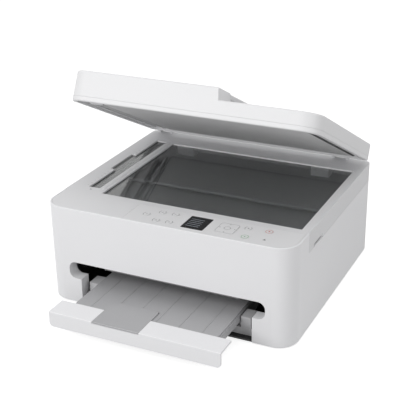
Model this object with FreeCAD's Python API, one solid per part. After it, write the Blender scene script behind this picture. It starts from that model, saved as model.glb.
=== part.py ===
import FreeCAD, Part
import math
import os

V = FreeCAD.Vector

# Driving dimensions in millimetres.
# The origin is on the floor under the middle of the body, +X to the right, +Y to the rear, +Z up.

# Body
FRAME_IN = 19.5
DEPTH = 354.0
TOP_Z = 157.0
SEAM_Z = 126.0
FOOT_H = 2.0
FOOT_HALF = 9.0
FOOT_IN = 36.0
WALL = 2.5
FLOOR = 3.0
FRONT_R = 30.0
REAR_R = 8.0
LOW_EDGE = 1.5
TOP_EDGE = 0.6
WRAP = 62.0

# Gaps between pieces
SEAM = 0.4
SLIDE = 0.3
RUN = 0.05

# Output slot and cassette opening in the front
SLOT_IN = 39.5
SLOT_LOW = 43.0
SLOT_HIGH = 70.0
SLOT_R = 11.0
SLOT_DEEP = 20.0
LINER = 2.0
OPENING_STEP = 19.5

# Paper path
PAPER_HALF = 105.0
GUIDE_MARGIN = 5.0
PARK_WIDE = 68.0
SHEET = 1.2
FRAME_NOSE = 22.0
FRAME_TAIL = 12.0
FRAME_BROW = 33.0
FRAME_FOOT = 9.6
SHAFT_OUT = 2.0
JOURNAL = 8.0
FLUTES = 20
FEED_BACK = 177.0
FEED_Z = 60.0
FEED_R = 5.5
FEED_SHAFT_R = 4.0
PINCH_R = 4.0
PINCH_SHAFT_R = 1.5
PINCH_LONG = 30.0
PINCH_COUNT = 3
PINCH_LEAD = 2.0
PINCH_LIFT = 2.0
NIP = 0.15
EXIT_BACK = 77.0
EXIT_Z = 50.0
EXIT_R = 5.5
EXIT_SHAFT_R = 3.0
EXIT_COUNT = 4
EXIT_LONG = 10.0
STAR_R = 4.0
STAR_ROOT_R = 2.9
STAR_SHAFT_R = 1.0
STAR_LONG = 1.0
STAR_TEETH = 10
PLATEN_Z = 56.5
PLATEN_DEEP = 72.0
PLATEN_LEAD = 14.0
PLATEN_RIB = 2.0
PLATEN_RIBS = 13
PLATEN_RISE = 2.5
PLATEN_SKIRT = 9.0
PLATEN_SLOPE = 4.0
PLATEN_BEAM = 16.0
GUIDE_BEHIND = 2.0
GUIDE_T = 2.0
GUIDE_OVER = 4.5
GUIDE_LIP = 5.0
GUIDE_BEAM = 8.0
GUIDE_RIB = 1.6
GUIDE_RIBS = 20
HANGER_T = 2.0
TURN_R = 28.0
TURN_T = 2.0
TURN_Z = 36.0
TURN_LEAD = 6.0
TURN_LEG = 9.0
TURN_RIB = 8.0
TURN_RIBS = 7

# Gears between the feed motor and the feed roller
MODULE = 1.0
WHEEL_TEETH = 44
PINION_TEETH = 12
GEAR_LONG = 4.0
PINION_LEAN = 25.0

# Frame, rail, belt and carriage
FRAME_TOP = 118.0
FRAME_BACK = 30.0
RAIL_Z = 103.0
RAIL_T = 1.5
RAIL_DROP = 8.5
RAIL_LEAD = 21.0
BELT_Z = 84.0
BELT_BACK = 22.0
BELT_T = 1.0
BELT_WIDE = 6.0
PULLEY_R = 7.0
PULLEY_SHAFT_R = 1.5
PULLEY_IN = 18.0
PULLEY_TEETH = 10
MOTOR_R = 15.0
MOTOR_FLAT = 12.0
MOTOR_LONG = 30.0
FEED_MOTOR_R = 12.0
FEED_MOTOR_FLAT = 10.0
CARRIAGE_PARK = 4.0
CARRIAGE_HALF = 48.0
CARRIAGE_LOW = 70.0
CARRIAGE_HIGH = 110.0
CARRIAGE_FRONT = 84.0
CARRIAGE_REAR = 10.0
CARRIAGE_WALL = 2.0
CARRIAGE_R = 5.0
CARRIAGE_NOSE = 24.0
HOOK_HALF = 40.0
HOOK_T = 5.0
CLAMP_HALF = 9.0
NOZZLE_Z = 60.0
NOZZLE_HALF = 7.0
NOZZLE_DEEP = 26.0
NOZZLE_IN = 18.0
NOZZLE_GAP = 2.0
CARTRIDGE_HIGH = 34.0
CARTRIDGE_NOSE = 20.0
CARTRIDGE_CLEAR = 5.0
CARTRIDGE_RIB = 1.5
LATCH_R = 2.0
LATCH_PIN_R = 1.0
LATCH_EAR = 2.7
LATCH_WIDE = 24.0
LATCH_LONG = 26.0

# Pickup arm and roller
PICKUP_BACK = 60.0
PICKUP_Z = 50.0
PICKUP_SHAFT_R = 4.0
PICKUP_REACH = 36.0
PICKUP_R = 10.0
PICKUP_HALF = 15.0
PICKUP_PIN_R = 2.0
PICKUP_ARM_T = 3.0
PICKUP_ARM_HIGH = 10.0
PICKUP_CLEAR = 2.0

# Paper cassette
CASSETTE_MARGIN = 10.0
CASSETTE_LONG = 296.0
CASSETTE_IN = 12.0
CASSETTE_WALL = 2.0
CASSETTE_HIGH = 18.5
SILL_HIGH = 11.0
SILL_T = 4.0
SILL_GAP = 2.0
PULL_HALF = 40.0
PULL_R = 3.0
CHANNEL = 3.0
BLOCK_STEP = 2.0
BLOCK_WIDE = 15.0
BLOCK_TOP = 34.0
BLOCK_DEEP = 23.0
NOTCH_HALF = 45.0
SIDE_GUIDE_T = 2.0
SIDE_GUIDE_LONG = 150.0
SIDE_GUIDE_FOOT = 30.0
SIDE_GUIDE_GRIP = 12.0
SIDE_GUIDE_LIP = 3.0
GUIDE_OFF = 10.0

# Output tray, its lip and the fold-out support
TRAY_OUT = 95.0
TRAY_STEP = 2.0
TRAY_Z = 38.0
TRAY_T = 2.5
TRAY_LONG = 137.0
TRAY_SKIRT = 2.0
TRAY_RIB = 0.8
TRAY_RIBS = 6
TRAY_RIBS_IN = 25.0
LIP_GAP = 4.5
LIP_TOP = 39.6
LIP_LOW = 16.0
LIP_T = 3.0
LIP_R = 6.0
LIP_EDGE_R = 1.0
STRIP_DEEP = 36.0
SUPPORT_LEFT = -63.0
SUPPORT_RIGHT = 11.0
SUPPORT_LONG = 62.0
SUPPORT_T = 2.4
SUPPORT_PIN_R = 1.0
SUPPORT_PIN = 3.0
SUPPORT_R = 5.0

# Scanner unit
TOP_T = 2.5
UNIT_HINGE_IN = 10.0
UNIT_PIN_R = 3.0
POST_STEP = 7.0
POST_HALF = 6.0
POST_R = 6.0
HINGE_GAP = 4.0
HINGE_ROOM = 17.0
CHEEK = 5.0
GRIP_FRONT = 80.0
GRIP_LONG = 42.0
GRIP_HIGH = 9.0
GRIP_DEEP = 3.0
GRIP_SLOPE = 4.0
PAN_T = 2.2
GLASS_LEFT_IN = 61.5
GLASS_RIGHT_IN = 13.5
GLASS_FRONT = -108.5
GLASS_REAR = 126.0
GLASS_T = 3.0
GLASS_LAP = 4.0
STRIP_IN = 29.5
STRIP_WIDE = 19.0
STRIP_FRONT = -93.0
STRIP_REAR = 129.0
STRIP_NOTCH = 8.0
STRIP_NOTCH_FRONT = -15.0
STRIP_NOTCH_REAR = 55.0
BAR_RISE = 0.8
SCAN_GAP = 1.0
SCAN_HALF = 9.0
SCAN_HIGH = 14.0
SCAN_LONG = 222.0
SCAN_RAIL_R = 3.0
SCAN_RAIL_RISE = 7.0
PAN_RIM = 6.0
STAND_IN = 4.0
STAND_HALF = 3.0
SCAN_LENS = 3.0
SCAN_SLOPE = 4.0

# Operation panel, display and keys
PANEL_LEFT = -64.0
PANEL_REAR = 56.0
PANEL_T = 2.5
PANEL_POST = 4.0
PANEL_BOARD_IN = 7.0
LEDGE = 3.0
SOCKET_HALF = 9.0
SOCKET_DEEP = 6.0
SOCKET_HIGH = 4.0
DISPLAY_X = 42.0
DISPLAY_BACK = 30.0
DISPLAY_WIDE = 34.0
DISPLAY_LONG = 40.0
DISPLAY_R = 2.0
DISPLAY_T = 5.0
DISPLAY_RIM = 1.6
KEY_R = 6.0
KEY_RISE = 0.3
KEY_DROP = 3.6
KEY_SKIRT = 1.2
KEY_SKIRT_T = 1.0
KEY_TRAVEL = 0.6
KEY_PLUNGER = 2.0
PAD_X = 88.0
PAD_BACK = 31.0
PAD_WIDE = 29.0
PAD_LONG = 31.0
PAD_R = 5.0
OK_R = 5.5

# Lid with the document feeder
LID_OPEN = 27.0
LID_HINGE_IN = 2.0
LID_HINGE_UP = 6.0
LID_PIN_R = 2.5
LID_BARREL_R = 4.5
LID_EAR_R = 6.0
LID_EAR_T = 4.0
LID_LEFT_HINGE_IN = 24.5
LID_RIGHT_HINGE_IN = 49.5
LID_ARM_HALF = 9.0
LID_FRONT_IN = 50.8
LID_REAR_IN = 10.3
LID_SIDE_IN = 0.5
LID_R = 27.0
LID_GAP = 0.5
LID_BASE_H = 7.0
LID_RIM = 7.0
LID_WEB = 2.0
LID_BASE_EDGE = 1.2
READ_SLIT = 2.0
READ_RIM = 3.0
PIN_DEEP = 2.0
PIN_ROOT = 4.0
LID_LOW = 28.2
LID_HIGH = 46.2
LID_EDGE_R = 3.0
HUMP_RIGHT = 44.0
HUMP_LEAN = 3.0
FEEDER_FRONT = 46.0
FEEDER_REAR = 30.0
FEEDER_LEFT = 14.0
FEEDER_FLOOR = 10.5
COVER_DROP = 2.6
COVER_T = 3.0
COVER_LIP = 9.0
COVER_PIN_R = 2.0
COVER_PIN_IN = 8.0
COVER_OVER = 3.0
COVER_TAIL = 6.4
COVER_RIB = 5.0
COVER_RIB_IN = 18.0
COVER_BARREL = 14.0
ENTRY_T = 3.0
ENTRY_TOP = 26.0
FEEDER_ROLLER_R = 9.0
FEEDER_ROLLER_X = -60.0
FEEDER_ROLLER_Z = 24.0
FEEDER_SHAFT_R = 3.0
FEEDER_TYRE = 32.0
PAD_LEFT_IN = 51.0
PAD_RIGHT_IN = 14.0
PAD_FRONT_IN = 9.0
PAD_REAR_IN = 34.0
PAD_T = 4.4
PAD_CROWN = 0.6
PAD_FRONT_R = 15.0
PAD_REAR_R = 4.0
DOC_RIGHT_IN = 11.0
DOC_FLOOR = 12.0
DOC_TOP = 23.5
DOC_T = 2.5
DOC_PIN_R = 1.2
DOC_LEG = 6.0
DOC_STEM = 1.7
DOC_SLOT_IN = 18.0
DOC_FINGER_R = 12.0
DOC_GUIDE_OFF = 30.0
DOC_GUIDE_FLAT = 1.2
DOC_GUIDE_T = 2.0
DOC_GUIDE_RISE = 3.6
DOC_GUIDE_LONG = 34.0
DOC_GUIDE_WIDE = 14.0
DOC_GUIDE_IN = 3.4

# Electronics
SUPPLY_WIDE = 46.0
SUPPLY_DEEP = 90.0
SUPPLY_HIGH = 45.0
VENTS = 8
VENT_WIDE = 3.0
VENT_IN = 6.0
INLET_WIDE = 26.0
INLET_HIGH = 18.0
INLET_Z = 26.0
INLET_R = 3.0
PLUG_WIDE = 17.0
PLUG_HIGH = 9.0
PLUG_DEEP = 14.0
PLUG_R = 4.4
PRONG_LONG = 6.0
PRONG_R = 1.2
BOARD_T = 1.6
BOARD_DEEP = 104.0
BOARD_HIGH = 108.0
BOARD_IN = 9.0
BOARD_GAP = 2.0
CHIP_T = 3.0
USB_WIDE = 12.0
USB_HIGH = 11.0
USB_Z = 66.0
USB_T = 2.0
PURGE_FRONT = 94.0
PURGE_DEEP = 62.0
PURGE_IN = 7.0
PURGE_WIDE = 54.0
PURGE_TOP = 57.0
PURGE_HIGH = 16.0
CAP_DROP = 4.0
CAP_T = 1.5
CAP_RISE = 2.5

# Places that follow from the driving dimensions
GUIDE_HALF = PAPER_HALF + GUIDE_MARGIN
FRAME_HALF = GUIDE_HALF + PARK_WIDE
SIDE_X = FRAME_HALF + FRAME_IN
SLOT_HALF = SIDE_X - SLOT_IN
OPENING_HALF = SLOT_HALF - OPENING_STEP
LIP_HALF = OPENING_HALF - LIP_GAP
CASSETTE_HALF = PAPER_HALF + CASSETTE_MARGIN
BLOCK_INNER = CASSETTE_HALF + BLOCK_STEP
TRAY_HALF = CASSETTE_HALF - TRAY_STEP
POST_X = CASSETTE_HALF + POST_STEP
CARRIAGE_X = FRAME_HALF - CARRIAGE_PARK - CARRIAGE_HALF
PURGE_LEFT = FRAME_HALF - PURGE_IN - PURGE_WIDE
GLASS_LEFT = -SIDE_X + GLASS_LEFT_IN
GLASS_RIGHT = SIDE_X - GLASS_RIGHT_IN
STRIP_LEFT = -SIDE_X + STRIP_IN
STRIP_RIGHT = STRIP_LEFT + STRIP_WIDE
SCAN_X = STRIP_LEFT + STRIP_WIDE / 2
LID_LEFT_HINGE = -SIDE_X + LID_LEFT_HINGE_IN
LID_RIGHT_HINGE = SIDE_X - LID_RIGHT_HINGE_IN
FRONT_Y = -DEPTH / 2
REAR_Y = DEPTH / 2
FLOOR_Z = FOOT_H + FLOOR
WRAP_Y = FRONT_Y + WRAP
FEED_Y = FRONT_Y + FEED_BACK
EXIT_Y = FRONT_Y + EXIT_BACK
PINCH_Y = FEED_Y + PINCH_LEAD
PINCH_Z = FEED_Z + math.sqrt((FEED_R + PINCH_R + NIP) ** 2 - PINCH_LEAD ** 2)
STAR_Z = EXIT_Z + EXIT_R + STAR_R + NIP
FRAME_Y = FEED_Y + FRAME_BACK
BELT_Y = FEED_Y + BELT_BACK
PULLEY_X = FRAME_HALF - PULLEY_IN
RAIL_Y = FRAME_Y - RAIL_LEAD
PICKUP_Y = FEED_Y + PICKUP_BACK
CASSETTE_Y = FRONT_Y + CASSETTE_IN
CASSETTE_Z = FLOOR_Z + SLIDE
CASSETTE_TOP = CASSETTE_Z + CASSETTE_HIGH
CASSETTE_FLOOR = CASSETTE_Z + CASSETTE_WALL
TURN_Y = REAR_Y - WALL - TURN_T - TURN_R - SLIDE - 3 * SEAM
LIP_Y = FRONT_Y - TRAY_OUT
UNIT_LOW = SEAM_Z + SEAM
UNIT_Y = REAR_Y - UNIT_HINGE_IN
UNIT_Z = UNIT_LOW + UNIT_HINGE_IN
UNIT_IN = WALL + SEAM
CAVITY_IN = UNIT_IN + WALL
PAN_TOP = UNIT_LOW + PAN_T
GLASS_TOP = TOP_Z - TOP_T
SCAN_TOP = GLASS_TOP - GLASS_T - SCAN_GAP
BOARD_TOP = TOP_Z - PANEL_T - KEY_SKIRT_T - KEY_DROP - KEY_TRAVEL - SLIDE
LID_Y = REAR_Y - LID_HINGE_IN
LID_Z = TOP_Z + LID_HINGE_UP
LID_FRONT = FRONT_Y + LID_FRONT_IN
LID_REAR = REAR_Y - LID_REAR_IN
LID_SIDE = SIDE_X - LID_SIDE_IN
LID_BOTTOM = TOP_Z + LID_GAP
LID_SEAM = LID_BOTTOM + LID_BASE_H
WELL_FRONT = LID_FRONT + FEEDER_FRONT
WELL_REAR = LID_REAR - FEEDER_REAR
WELL_LEFT = -LID_SIDE + FEEDER_LEFT
DOC_RIGHT = LID_SIDE - DOC_RIGHT_IN
PAD_LEFT = -LID_SIDE + PAD_LEFT_IN
PAD_RIGHT = LID_SIDE - PAD_RIGHT_IN
PAD_FRONT = LID_FRONT + PAD_FRONT_IN
PAD_REAR_Y = LID_REAR - PAD_REAR_IN
COVER_TOP = TOP_Z + LID_HIGH - COVER_DROP
COVER_X = WELL_LEFT + COVER_PIN_IN
COVER_PIN_Z = COVER_TOP - COVER_T - COVER_PIN_R
DOC_Z = TOP_Z + DOC_TOP
DOC_LEFT = HUMP_RIGHT + HUMP_LEAN + SLIDE
DOC_PIN_X = DOC_LEFT + 2 * DOC_T
DOC_PIN_Z = DOC_Z - DOC_T / 2
PIN_GEAR_Y = FEED_Y - (WHEEL_TEETH + PINION_TEETH) * MODULE / 2 * math.sin(math.radians(PINION_LEAN))
PIN_GEAR_Z = FEED_Z - (WHEEL_TEETH + PINION_TEETH) * MODULE / 2 * math.cos(math.radians(PINION_LEAN))
WHEEL_X = -FRAME_HALF - SHEET - 2 * SLIDE

PANEL_POSTS = ((-50.0, 16.0), (-50.0, 46.0), (15.0, 30.0), (66.0, 14.0), (66.0, 48.0), (160.0, 30.0))

CHIPS = ((20.0, 22.0, 50.0, 22.0), (56.0, 12.0, 56.0, 16.0), (26.0, 14.0, 84.0, 10.0))

KEYS = {
    "mode_key_1": (-38.0, 29.5),
    "mode_key_2": (-19.0, 43.0),
    "mode_key_3": (1.5, 43.5),
    "mode_key_4": (-16.0, 16.0),
    "mode_key_5": (4.5, 17.0),
    "back_key": (115.0, 42.5),
    "stop_key": (145.5, 44.0),
    "start_key": (120.5, 16.5),
}


# Basic shapes
def block(x0, x1, y0, y1, z0, z1):
    return Part.makeBox(x1 - x0, y1 - y0, z1 - z0, V(x0, y0, z0))


def rod(axis, start, length, r):
    return Part.makeCylinder(r, length, V(*start), V(*axis))


def rod_x(x0, x1, y, z, r):
    return rod((1, 0, 0), (x0, y, z), x1 - x0, r)


def rod_y(x, y0, y1, z, r):
    return rod((0, 1, 0), (x, y0, z), y1 - y0, r)


def rod_z(x, y, z0, z1, r):
    return rod((0, 0, 1), (x, y, z0), z1 - z0, r)


def corner(x, y, r, start):
    centre = V(x, y, 0)
    points = [centre + V(math.cos(a), math.sin(a), 0) * r for a in
              (start, start + math.pi / 4, start + math.pi / 2)]
    return Part.Arc(*points).toShape()


def rounded_face(x0, x1, y0, y1, front_r, rear_r):
    arcs = [corner(x1 - front_r, y0 + front_r, front_r, -math.pi / 2),
            corner(x1 - rear_r, y1 - rear_r, rear_r, 0.0),
            corner(x0 + rear_r, y1 - rear_r, rear_r, math.pi / 2),
            corner(x0 + front_r, y0 + front_r, front_r, math.pi)]
    edges = []
    for i, arc in enumerate(arcs):
        following = arcs[(i + 1) % len(arcs)]
        edges.append(arc)
        edges.append(Part.makeLine(arc.lastVertex(True).Point, following.firstVertex(True).Point))
    return Part.Face(Part.Wire(Part.__sortEdges__(edges)))


def rounded_plate(x0, x1, y0, y1, z0, z1, front_r, rear_r=None):
    face = rounded_face(x0, x1, y0, y1, front_r, front_r if rear_r is None else rear_r)
    face.translate(V(0, 0, z0))
    return face.extrude(V(0, 0, z1 - z0))


def rounded_front(x0, x1, z0, z1, y0, y1, r):
    face = rounded_face(x0, x1, z0, z1, r, r)
    face.rotate(V(0, 0, 0), V(1, 0, 0), 90)
    face.translate(V(0, y0, 0))
    return face.extrude(V(0, y1 - y0, 0))


def side_profile(points, x0, x1):
    wire = Part.makePolygon([V(x0, y, z) for y, z in points + points[:1]])
    return Part.Face(wire).extrude(V(x1 - x0, 0, 0))


def front_profile(points, y0, y1):
    wire = Part.makePolygon([V(x, y0, z) for x, z in points + points[:1]])
    return Part.Face(wire).extrude(V(0, y1 - y0, 0))


def prism_x(x0, x1, y, z, r, sides):
    turn = 2 * math.pi / sides
    points = [(y + r * math.cos(i * turn), z + r * math.sin(i * turn)) for i in range(sides)]
    return side_profile(points, x0, x1)


def prism_y(x, y0, y1, z, r, sides):
    turn = 2 * math.pi / sides
    points = [(x + r * math.cos(i * turn), z + r * math.sin(i * turn)) for i in range(sides)]
    return front_profile(points, y0, y1)


def hex_shaft(half, y, z, r):
    middle = prism_x(-half + JOURNAL, half - JOURNAL, y, z, r, 6)
    journals = [rod_x(-half, -half + JOURNAL, y, z, r), rod_x(half - JOURNAL, half, y, z, r)]
    return middle.fuse(journals)


def socket_x(x0, x1, y, z, r):
    return block(x0, x1, y - r, y + r, z - r, z + r)


def socket_y(x, y0, y1, z, r):
    return block(x - r, x + r, y0, y1, z - r, z + r)


def body_solid(inset, z0, z1):
    return rounded_plate(-SIDE_X + inset, SIDE_X - inset, FRONT_Y + inset, REAR_Y - inset, z0, z1,
                         FRONT_R - inset, max(REAR_R - inset, WALL))


def spread(count, half):
    return [-half + 2 * half * i / (count - 1) for i in range(count)]


def both_sides(make):
    return [make(side) for side in (-1, 1)]


def level_edges(shape, z):
    return [e for e in shape.Edges if abs(e.BoundBox.ZMin - z) < 1e-6 and abs(e.BoundBox.ZMax - z) < 1e-6]


def one(shape):
    return shape.removeSplitter()


def gear(x0, x1, y, z, teeth, phase):
    pitch_r = teeth * MODULE / 2
    root_r = pitch_r - 1.25 * MODULE
    tip_r = pitch_r + 0.9 * MODULE
    step = 2 * math.pi / teeth
    points = []
    for i in range(teeth):
        middle = phase + i * step
        for share, r in ((-0.23, root_r), (-0.09, tip_r), (0.09, tip_r), (0.23, root_r)):
            angle = middle + share * step
            points.append((y + r * math.cos(angle), z + r * math.sin(angle)))
    return side_profile(points, x0, x1)


# Lower body
def foot_places():
    x, front, rear = SIDE_X - FOOT_IN, FRONT_Y + FOOT_IN, REAR_Y - FOOT_IN
    return [(side * x, y) for side in (-1, 1) for y in (front, rear)]


def opening_liner(side):
    inner, outer = sorted((side * OPENING_HALF, side * (OPENING_HALF + LINER)))
    return block(inner, outer, FRONT_Y + WALL / 2, FRONT_Y + SLOT_DEEP, FLOOR_Z + SEAM, SLOT_LOW)


def make_outer_case():
    case = body_solid(0.0, FOOT_H, TOP_Z)
    case = case.makeChamfer(LOW_EDGE, level_edges(case, FOOT_H))
    case = case.makeChamfer(TOP_EDGE, level_edges(case, TOP_Z))
    case = case.cut(body_solid(WALL, FOOT_H - 1, TOP_Z + 1))
    case = case.cut(block(-SIDE_X - 1, SIDE_X + 1, WRAP_Y, REAR_Y + 1, SEAM_Z, TOP_Z + 1))
    ring = rounded_front(-SLOT_HALF - LINER, SLOT_HALF + LINER, SLOT_LOW - LINER, SLOT_HIGH + LINER,
                         FRONT_Y + WALL / 2, FRONT_Y + SLOT_DEEP, SLOT_R + LINER)
    case = case.fuse([ring] + both_sides(opening_liner))
    hole = rounded_front(-SLOT_HALF, SLOT_HALF, SLOT_LOW, SLOT_HIGH,
                         FRONT_Y - 1, FRONT_Y + SLOT_DEEP + 1, SLOT_R)
    opening = block(-OPENING_HALF, OPENING_HALF, FRONT_Y - 1, FRONT_Y + SLOT_DEEP + 1,
                    FOOT_H - 1, SLOT_LOW + SLOT_R)
    inlet = inlet_solid(SEAM, REAR_Y - 2 * WALL, REAR_Y + 1)
    usb = usb_solid(SEAM, REAR_Y - 2 * WALL, REAR_Y + 1)
    return one(case.cut([hole, opening, inlet, usb]))


def hinge_post(side):
    x = side * POST_X
    post = block(x - POST_HALF, x + POST_HALF, UNIT_Y - POST_R, UNIT_Y + POST_R, FLOOR_Z - 1, UNIT_Z)
    post = post.fuse(rod_x(x - POST_HALF, x + POST_HALF, UNIT_Y, UNIT_Z, POST_R))
    return post.cut(rod_x(x - POST_HALF - 1, x + POST_HALF + 1, UNIT_Y, UNIT_Z, UNIT_PIN_R + RUN))


def cassette_runner(side):
    inner = side * (CASSETTE_HALF + SLIDE)
    outer = side * (CASSETTE_HALF + SLIDE + WALL)
    x0, x1 = sorted((inner, outer))
    return block(x0, x1, CASSETTE_Y + 2 * BLOCK_DEEP, CASSETTE_Y + CASSETTE_LONG,
                 FLOOR_Z - 1, FLOOR_Z + CASSETTE_HIGH / 2)


def make_base_tray():
    tray = body_solid(WALL + SEAM, FOOT_H, FLOOR_Z)
    return one(tray.fuse(both_sides(hinge_post) + both_sides(cassette_runner)))


def make_rubber_feet():
    feet = [block(x - FOOT_HALF, x + FOOT_HALF, y - FOOT_HALF, y + FOOT_HALF, 0.0, FOOT_H)
            for x, y in foot_places()]
    return Part.makeCompound(feet)


# Print mechanism
def frame_side(side):
    x0, x1 = sorted((side * FRAME_HALF, side * (FRAME_HALF + SHEET)))
    front, back = EXIT_Y - FRAME_NOSE, PICKUP_Y + FRAME_TAIL
    points = [(front, FLOOR_Z), (back, FLOOR_Z), (back, PICKUP_Z + FRAME_TAIL), (FRAME_Y + SHEET,
                                                                                 FRAME_TOP),
              (FEED_Y - CARRIAGE_FRONT / 2, FRAME_TOP), (front, EXIT_Z + FRAME_BROW)]
    plate = side_profile(points, x0, x1)
    foot = sorted((side * FRAME_HALF, side * (FRAME_HALF + FRAME_FOOT)))
    flange = block(*foot, front, FRAME_Y, FLOOR_Z, FLOOR_Z + SHEET)
    shafts = [(FEED_Y, FEED_Z, FEED_SHAFT_R), (EXIT_Y, EXIT_Z, EXIT_SHAFT_R),
              (PICKUP_Y, PICKUP_Z, PICKUP_SHAFT_R)]
    holes = [rod_x(x0 - 1, x1 + 1, y, z, r + RUN) for y, z, r in shafts]
    half = PINCH_SHAFT_R + RUN
    holes.append(block(x0 - 1, x1 + 1, PINCH_Y - half, PINCH_Y + half, PINCH_Z - half,
                       PINCH_Z + half + PINCH_LIFT))
    if side < 0:
        holes.append(socket_x(x0 - 1, x1 + 1, PIN_GEAR_Y, PIN_GEAR_Z, PULLEY_SHAFT_R + SLIDE))
    return plate.fuse(flange).cut(holes)


def make_inner_frame():
    rear = block(-FRAME_HALF, FRAME_HALF, FRAME_Y, FRAME_Y + SHEET, PINCH_Z + PINCH_R, FRAME_TOP)
    motor_hole = socket_y(PULLEY_X, FRAME_Y - 1, FRAME_Y + SHEET + 1, BELT_Z, 2 * PULLEY_SHAFT_R)
    pin = rod_y(-PULLEY_X, BELT_Y - BELT_WIDE / 2, FRAME_Y + SHEET / 2, BELT_Z, PULLEY_SHAFT_R)
    return one(rear.cut(motor_hole).fuse(both_sides(frame_side) + [pin]))


def make_guide_rail():
    low, top = RAIL_Z - RAIL_DROP, RAIL_Z + RAIL_T
    points = [(RAIL_Y, low), (RAIL_Y + RAIL_T, low), (RAIL_Y + RAIL_T, RAIL_Z), (FRAME_Y, RAIL_Z),
              (FRAME_Y, top), (RAIL_Y, top)]
    return side_profile(points, -FRAME_HALF, FRAME_HALF)


def make_platen():
    rear = FEED_Y - PLATEN_LEAD
    front = rear - PLATEN_DEEP
    low, deck_top = PLATEN_Z - PLATEN_SKIRT, PLATEN_Z - PLATEN_RISE
    deck = block(-GUIDE_HALF, GUIDE_HALF, front, rear, low, deck_top)
    hollow = block(-GUIDE_HALF + WALL, GUIDE_HALF - WALL, front + WALL, rear - WALL, low - 1,
                   deck_top - WALL)
    beam = block(-FRAME_HALF, FRAME_HALF, rear - PLATEN_BEAM, rear - WALL, low, deck_top - WALL)
    profile = [(front, deck_top - PLATEN_RIB / 2), (rear, deck_top - PLATEN_RIB / 2), (rear,
                                                                                       deck_top + 1.0),
               (rear - PLATEN_SLOPE, PLATEN_Z), (front + PLATEN_SLOPE, PLATEN_Z), (front, deck_top + 1.0)]
    ribs = [side_profile(profile, x - PLATEN_RIB / 2, x + PLATEN_RIB / 2)
            for x in spread(PLATEN_RIBS, PAPER_HALF - PLATEN_RIB)]
    return one(deck.cut(hollow).fuse([beam] + ribs))


def star_places():
    return spread(EXIT_COUNT, PAPER_HALF - EXIT_LONG)


def make_exit_guide():
    front = FRONT_Y + SLOT_DEEP + GUIDE_BEHIND
    top = STAR_Z + STAR_R + GUIDE_OVER
    low = STAR_Z - GUIDE_LIP
    beam_y = (EXIT_Y - GUIDE_BEAM, EXIT_Y + GUIDE_BEAM)
    deck = block(-GUIDE_HALF, GUIDE_HALF, front, beam_y[1], top - GUIDE_T, top)
    beam = block(-FRAME_HALF, FRAME_HALF, *beam_y, top - GUIDE_T, top)
    fascia = block(-GUIDE_HALF, GUIDE_HALF, front, front + GUIDE_T, low, top)
    profile = [(front - GUIDE_RIB, low), (front + GUIDE_T / 2, low), (front + GUIDE_T / 2,
                                                                      top - GUIDE_T / 2),
               (front - GUIDE_RIB / 3, top - GUIDE_T / 2)]
    ribs = [side_profile(profile, x - GUIDE_RIB / 2, x + GUIDE_RIB / 2)
            for x in spread(GUIDE_RIBS, GUIDE_HALF - GUIDE_T)]
    hangers = [block(x - HANGER_T / 2, x + HANGER_T / 2, EXIT_Y - STAR_R, EXIT_Y + STAR_R,
                     STAR_Z - 2 * STAR_SHAFT_R, top - GUIDE_T / 2) for x in (-PAPER_HALF, 0.0, PAPER_HALF)]
    half = STAR_SHAFT_R + RUN
    slot = block(-GUIDE_HALF, GUIDE_HALF, EXIT_Y - half, EXIT_Y + half, low, STAR_Z + half)
    return one(deck.fuse([beam, fascia] + ribs + [hanger.cut(slot) for hanger in hangers]))


def make_star_wheels():
    step = 2 * math.pi / STAR_TEETH
    points = []
    for i in range(STAR_TEETH):
        for share, r in ((0.0, STAR_R), (0.5, STAR_ROOT_R)):
            angle = (i + share) * step
            points.append((EXIT_Y + r * math.cos(angle), STAR_Z + r * math.sin(angle)))
    wheels = [side_profile(points, x - STAR_LONG / 2, x + STAR_LONG / 2) for x in star_places()]
    return one(hex_shaft(PAPER_HALF + SHAFT_OUT, EXIT_Y, STAR_Z, STAR_SHAFT_R).fuse(wheels))


def make_exit_roller():
    shaft = hex_shaft(FRAME_HALF + SHEET + SHAFT_OUT, EXIT_Y, EXIT_Z, EXIT_SHAFT_R)
    rollers = [prism_x(x - EXIT_LONG / 2, x + EXIT_LONG / 2, EXIT_Y, EXIT_Z, EXIT_R, FLUTES)
               for x in star_places()]
    return one(shaft.fuse(rollers))


def make_feed_roller():
    shaft = rod_x(WHEEL_X - GEAR_LONG, FRAME_HALF + SHEET + SHAFT_OUT, FEED_Y, FEED_Z, FEED_SHAFT_R)
    grip = rod_x(-GUIDE_HALF, GUIDE_HALF, FEED_Y, FEED_Z, FEED_R)
    wheel = gear(WHEEL_X - GEAR_LONG, WHEEL_X, FEED_Y, FEED_Z, WHEEL_TEETH, 0.0)
    return one(shaft.fuse([grip, wheel]))


def make_drive_pinion():
    facing = math.atan2(FEED_Z - PIN_GEAR_Z, FEED_Y - PIN_GEAR_Y)
    wheel_step = 2 * math.pi / WHEEL_TEETH
    pinion_step = 2 * math.pi / PINION_TEETH
    past = ((facing + math.pi) / wheel_step) % 1.0
    phase = facing + (past + 0.5) * pinion_step
    x0, x1 = WHEEL_X - GEAR_LONG, WHEEL_X
    teeth = gear(x0, x1, PIN_GEAR_Y, PIN_GEAR_Z, PINION_TEETH, phase)
    return teeth.cut(rod_x(x0 - 1, x1 + 1, PIN_GEAR_Y, PIN_GEAR_Z, PULLEY_SHAFT_R + RUN))


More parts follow.
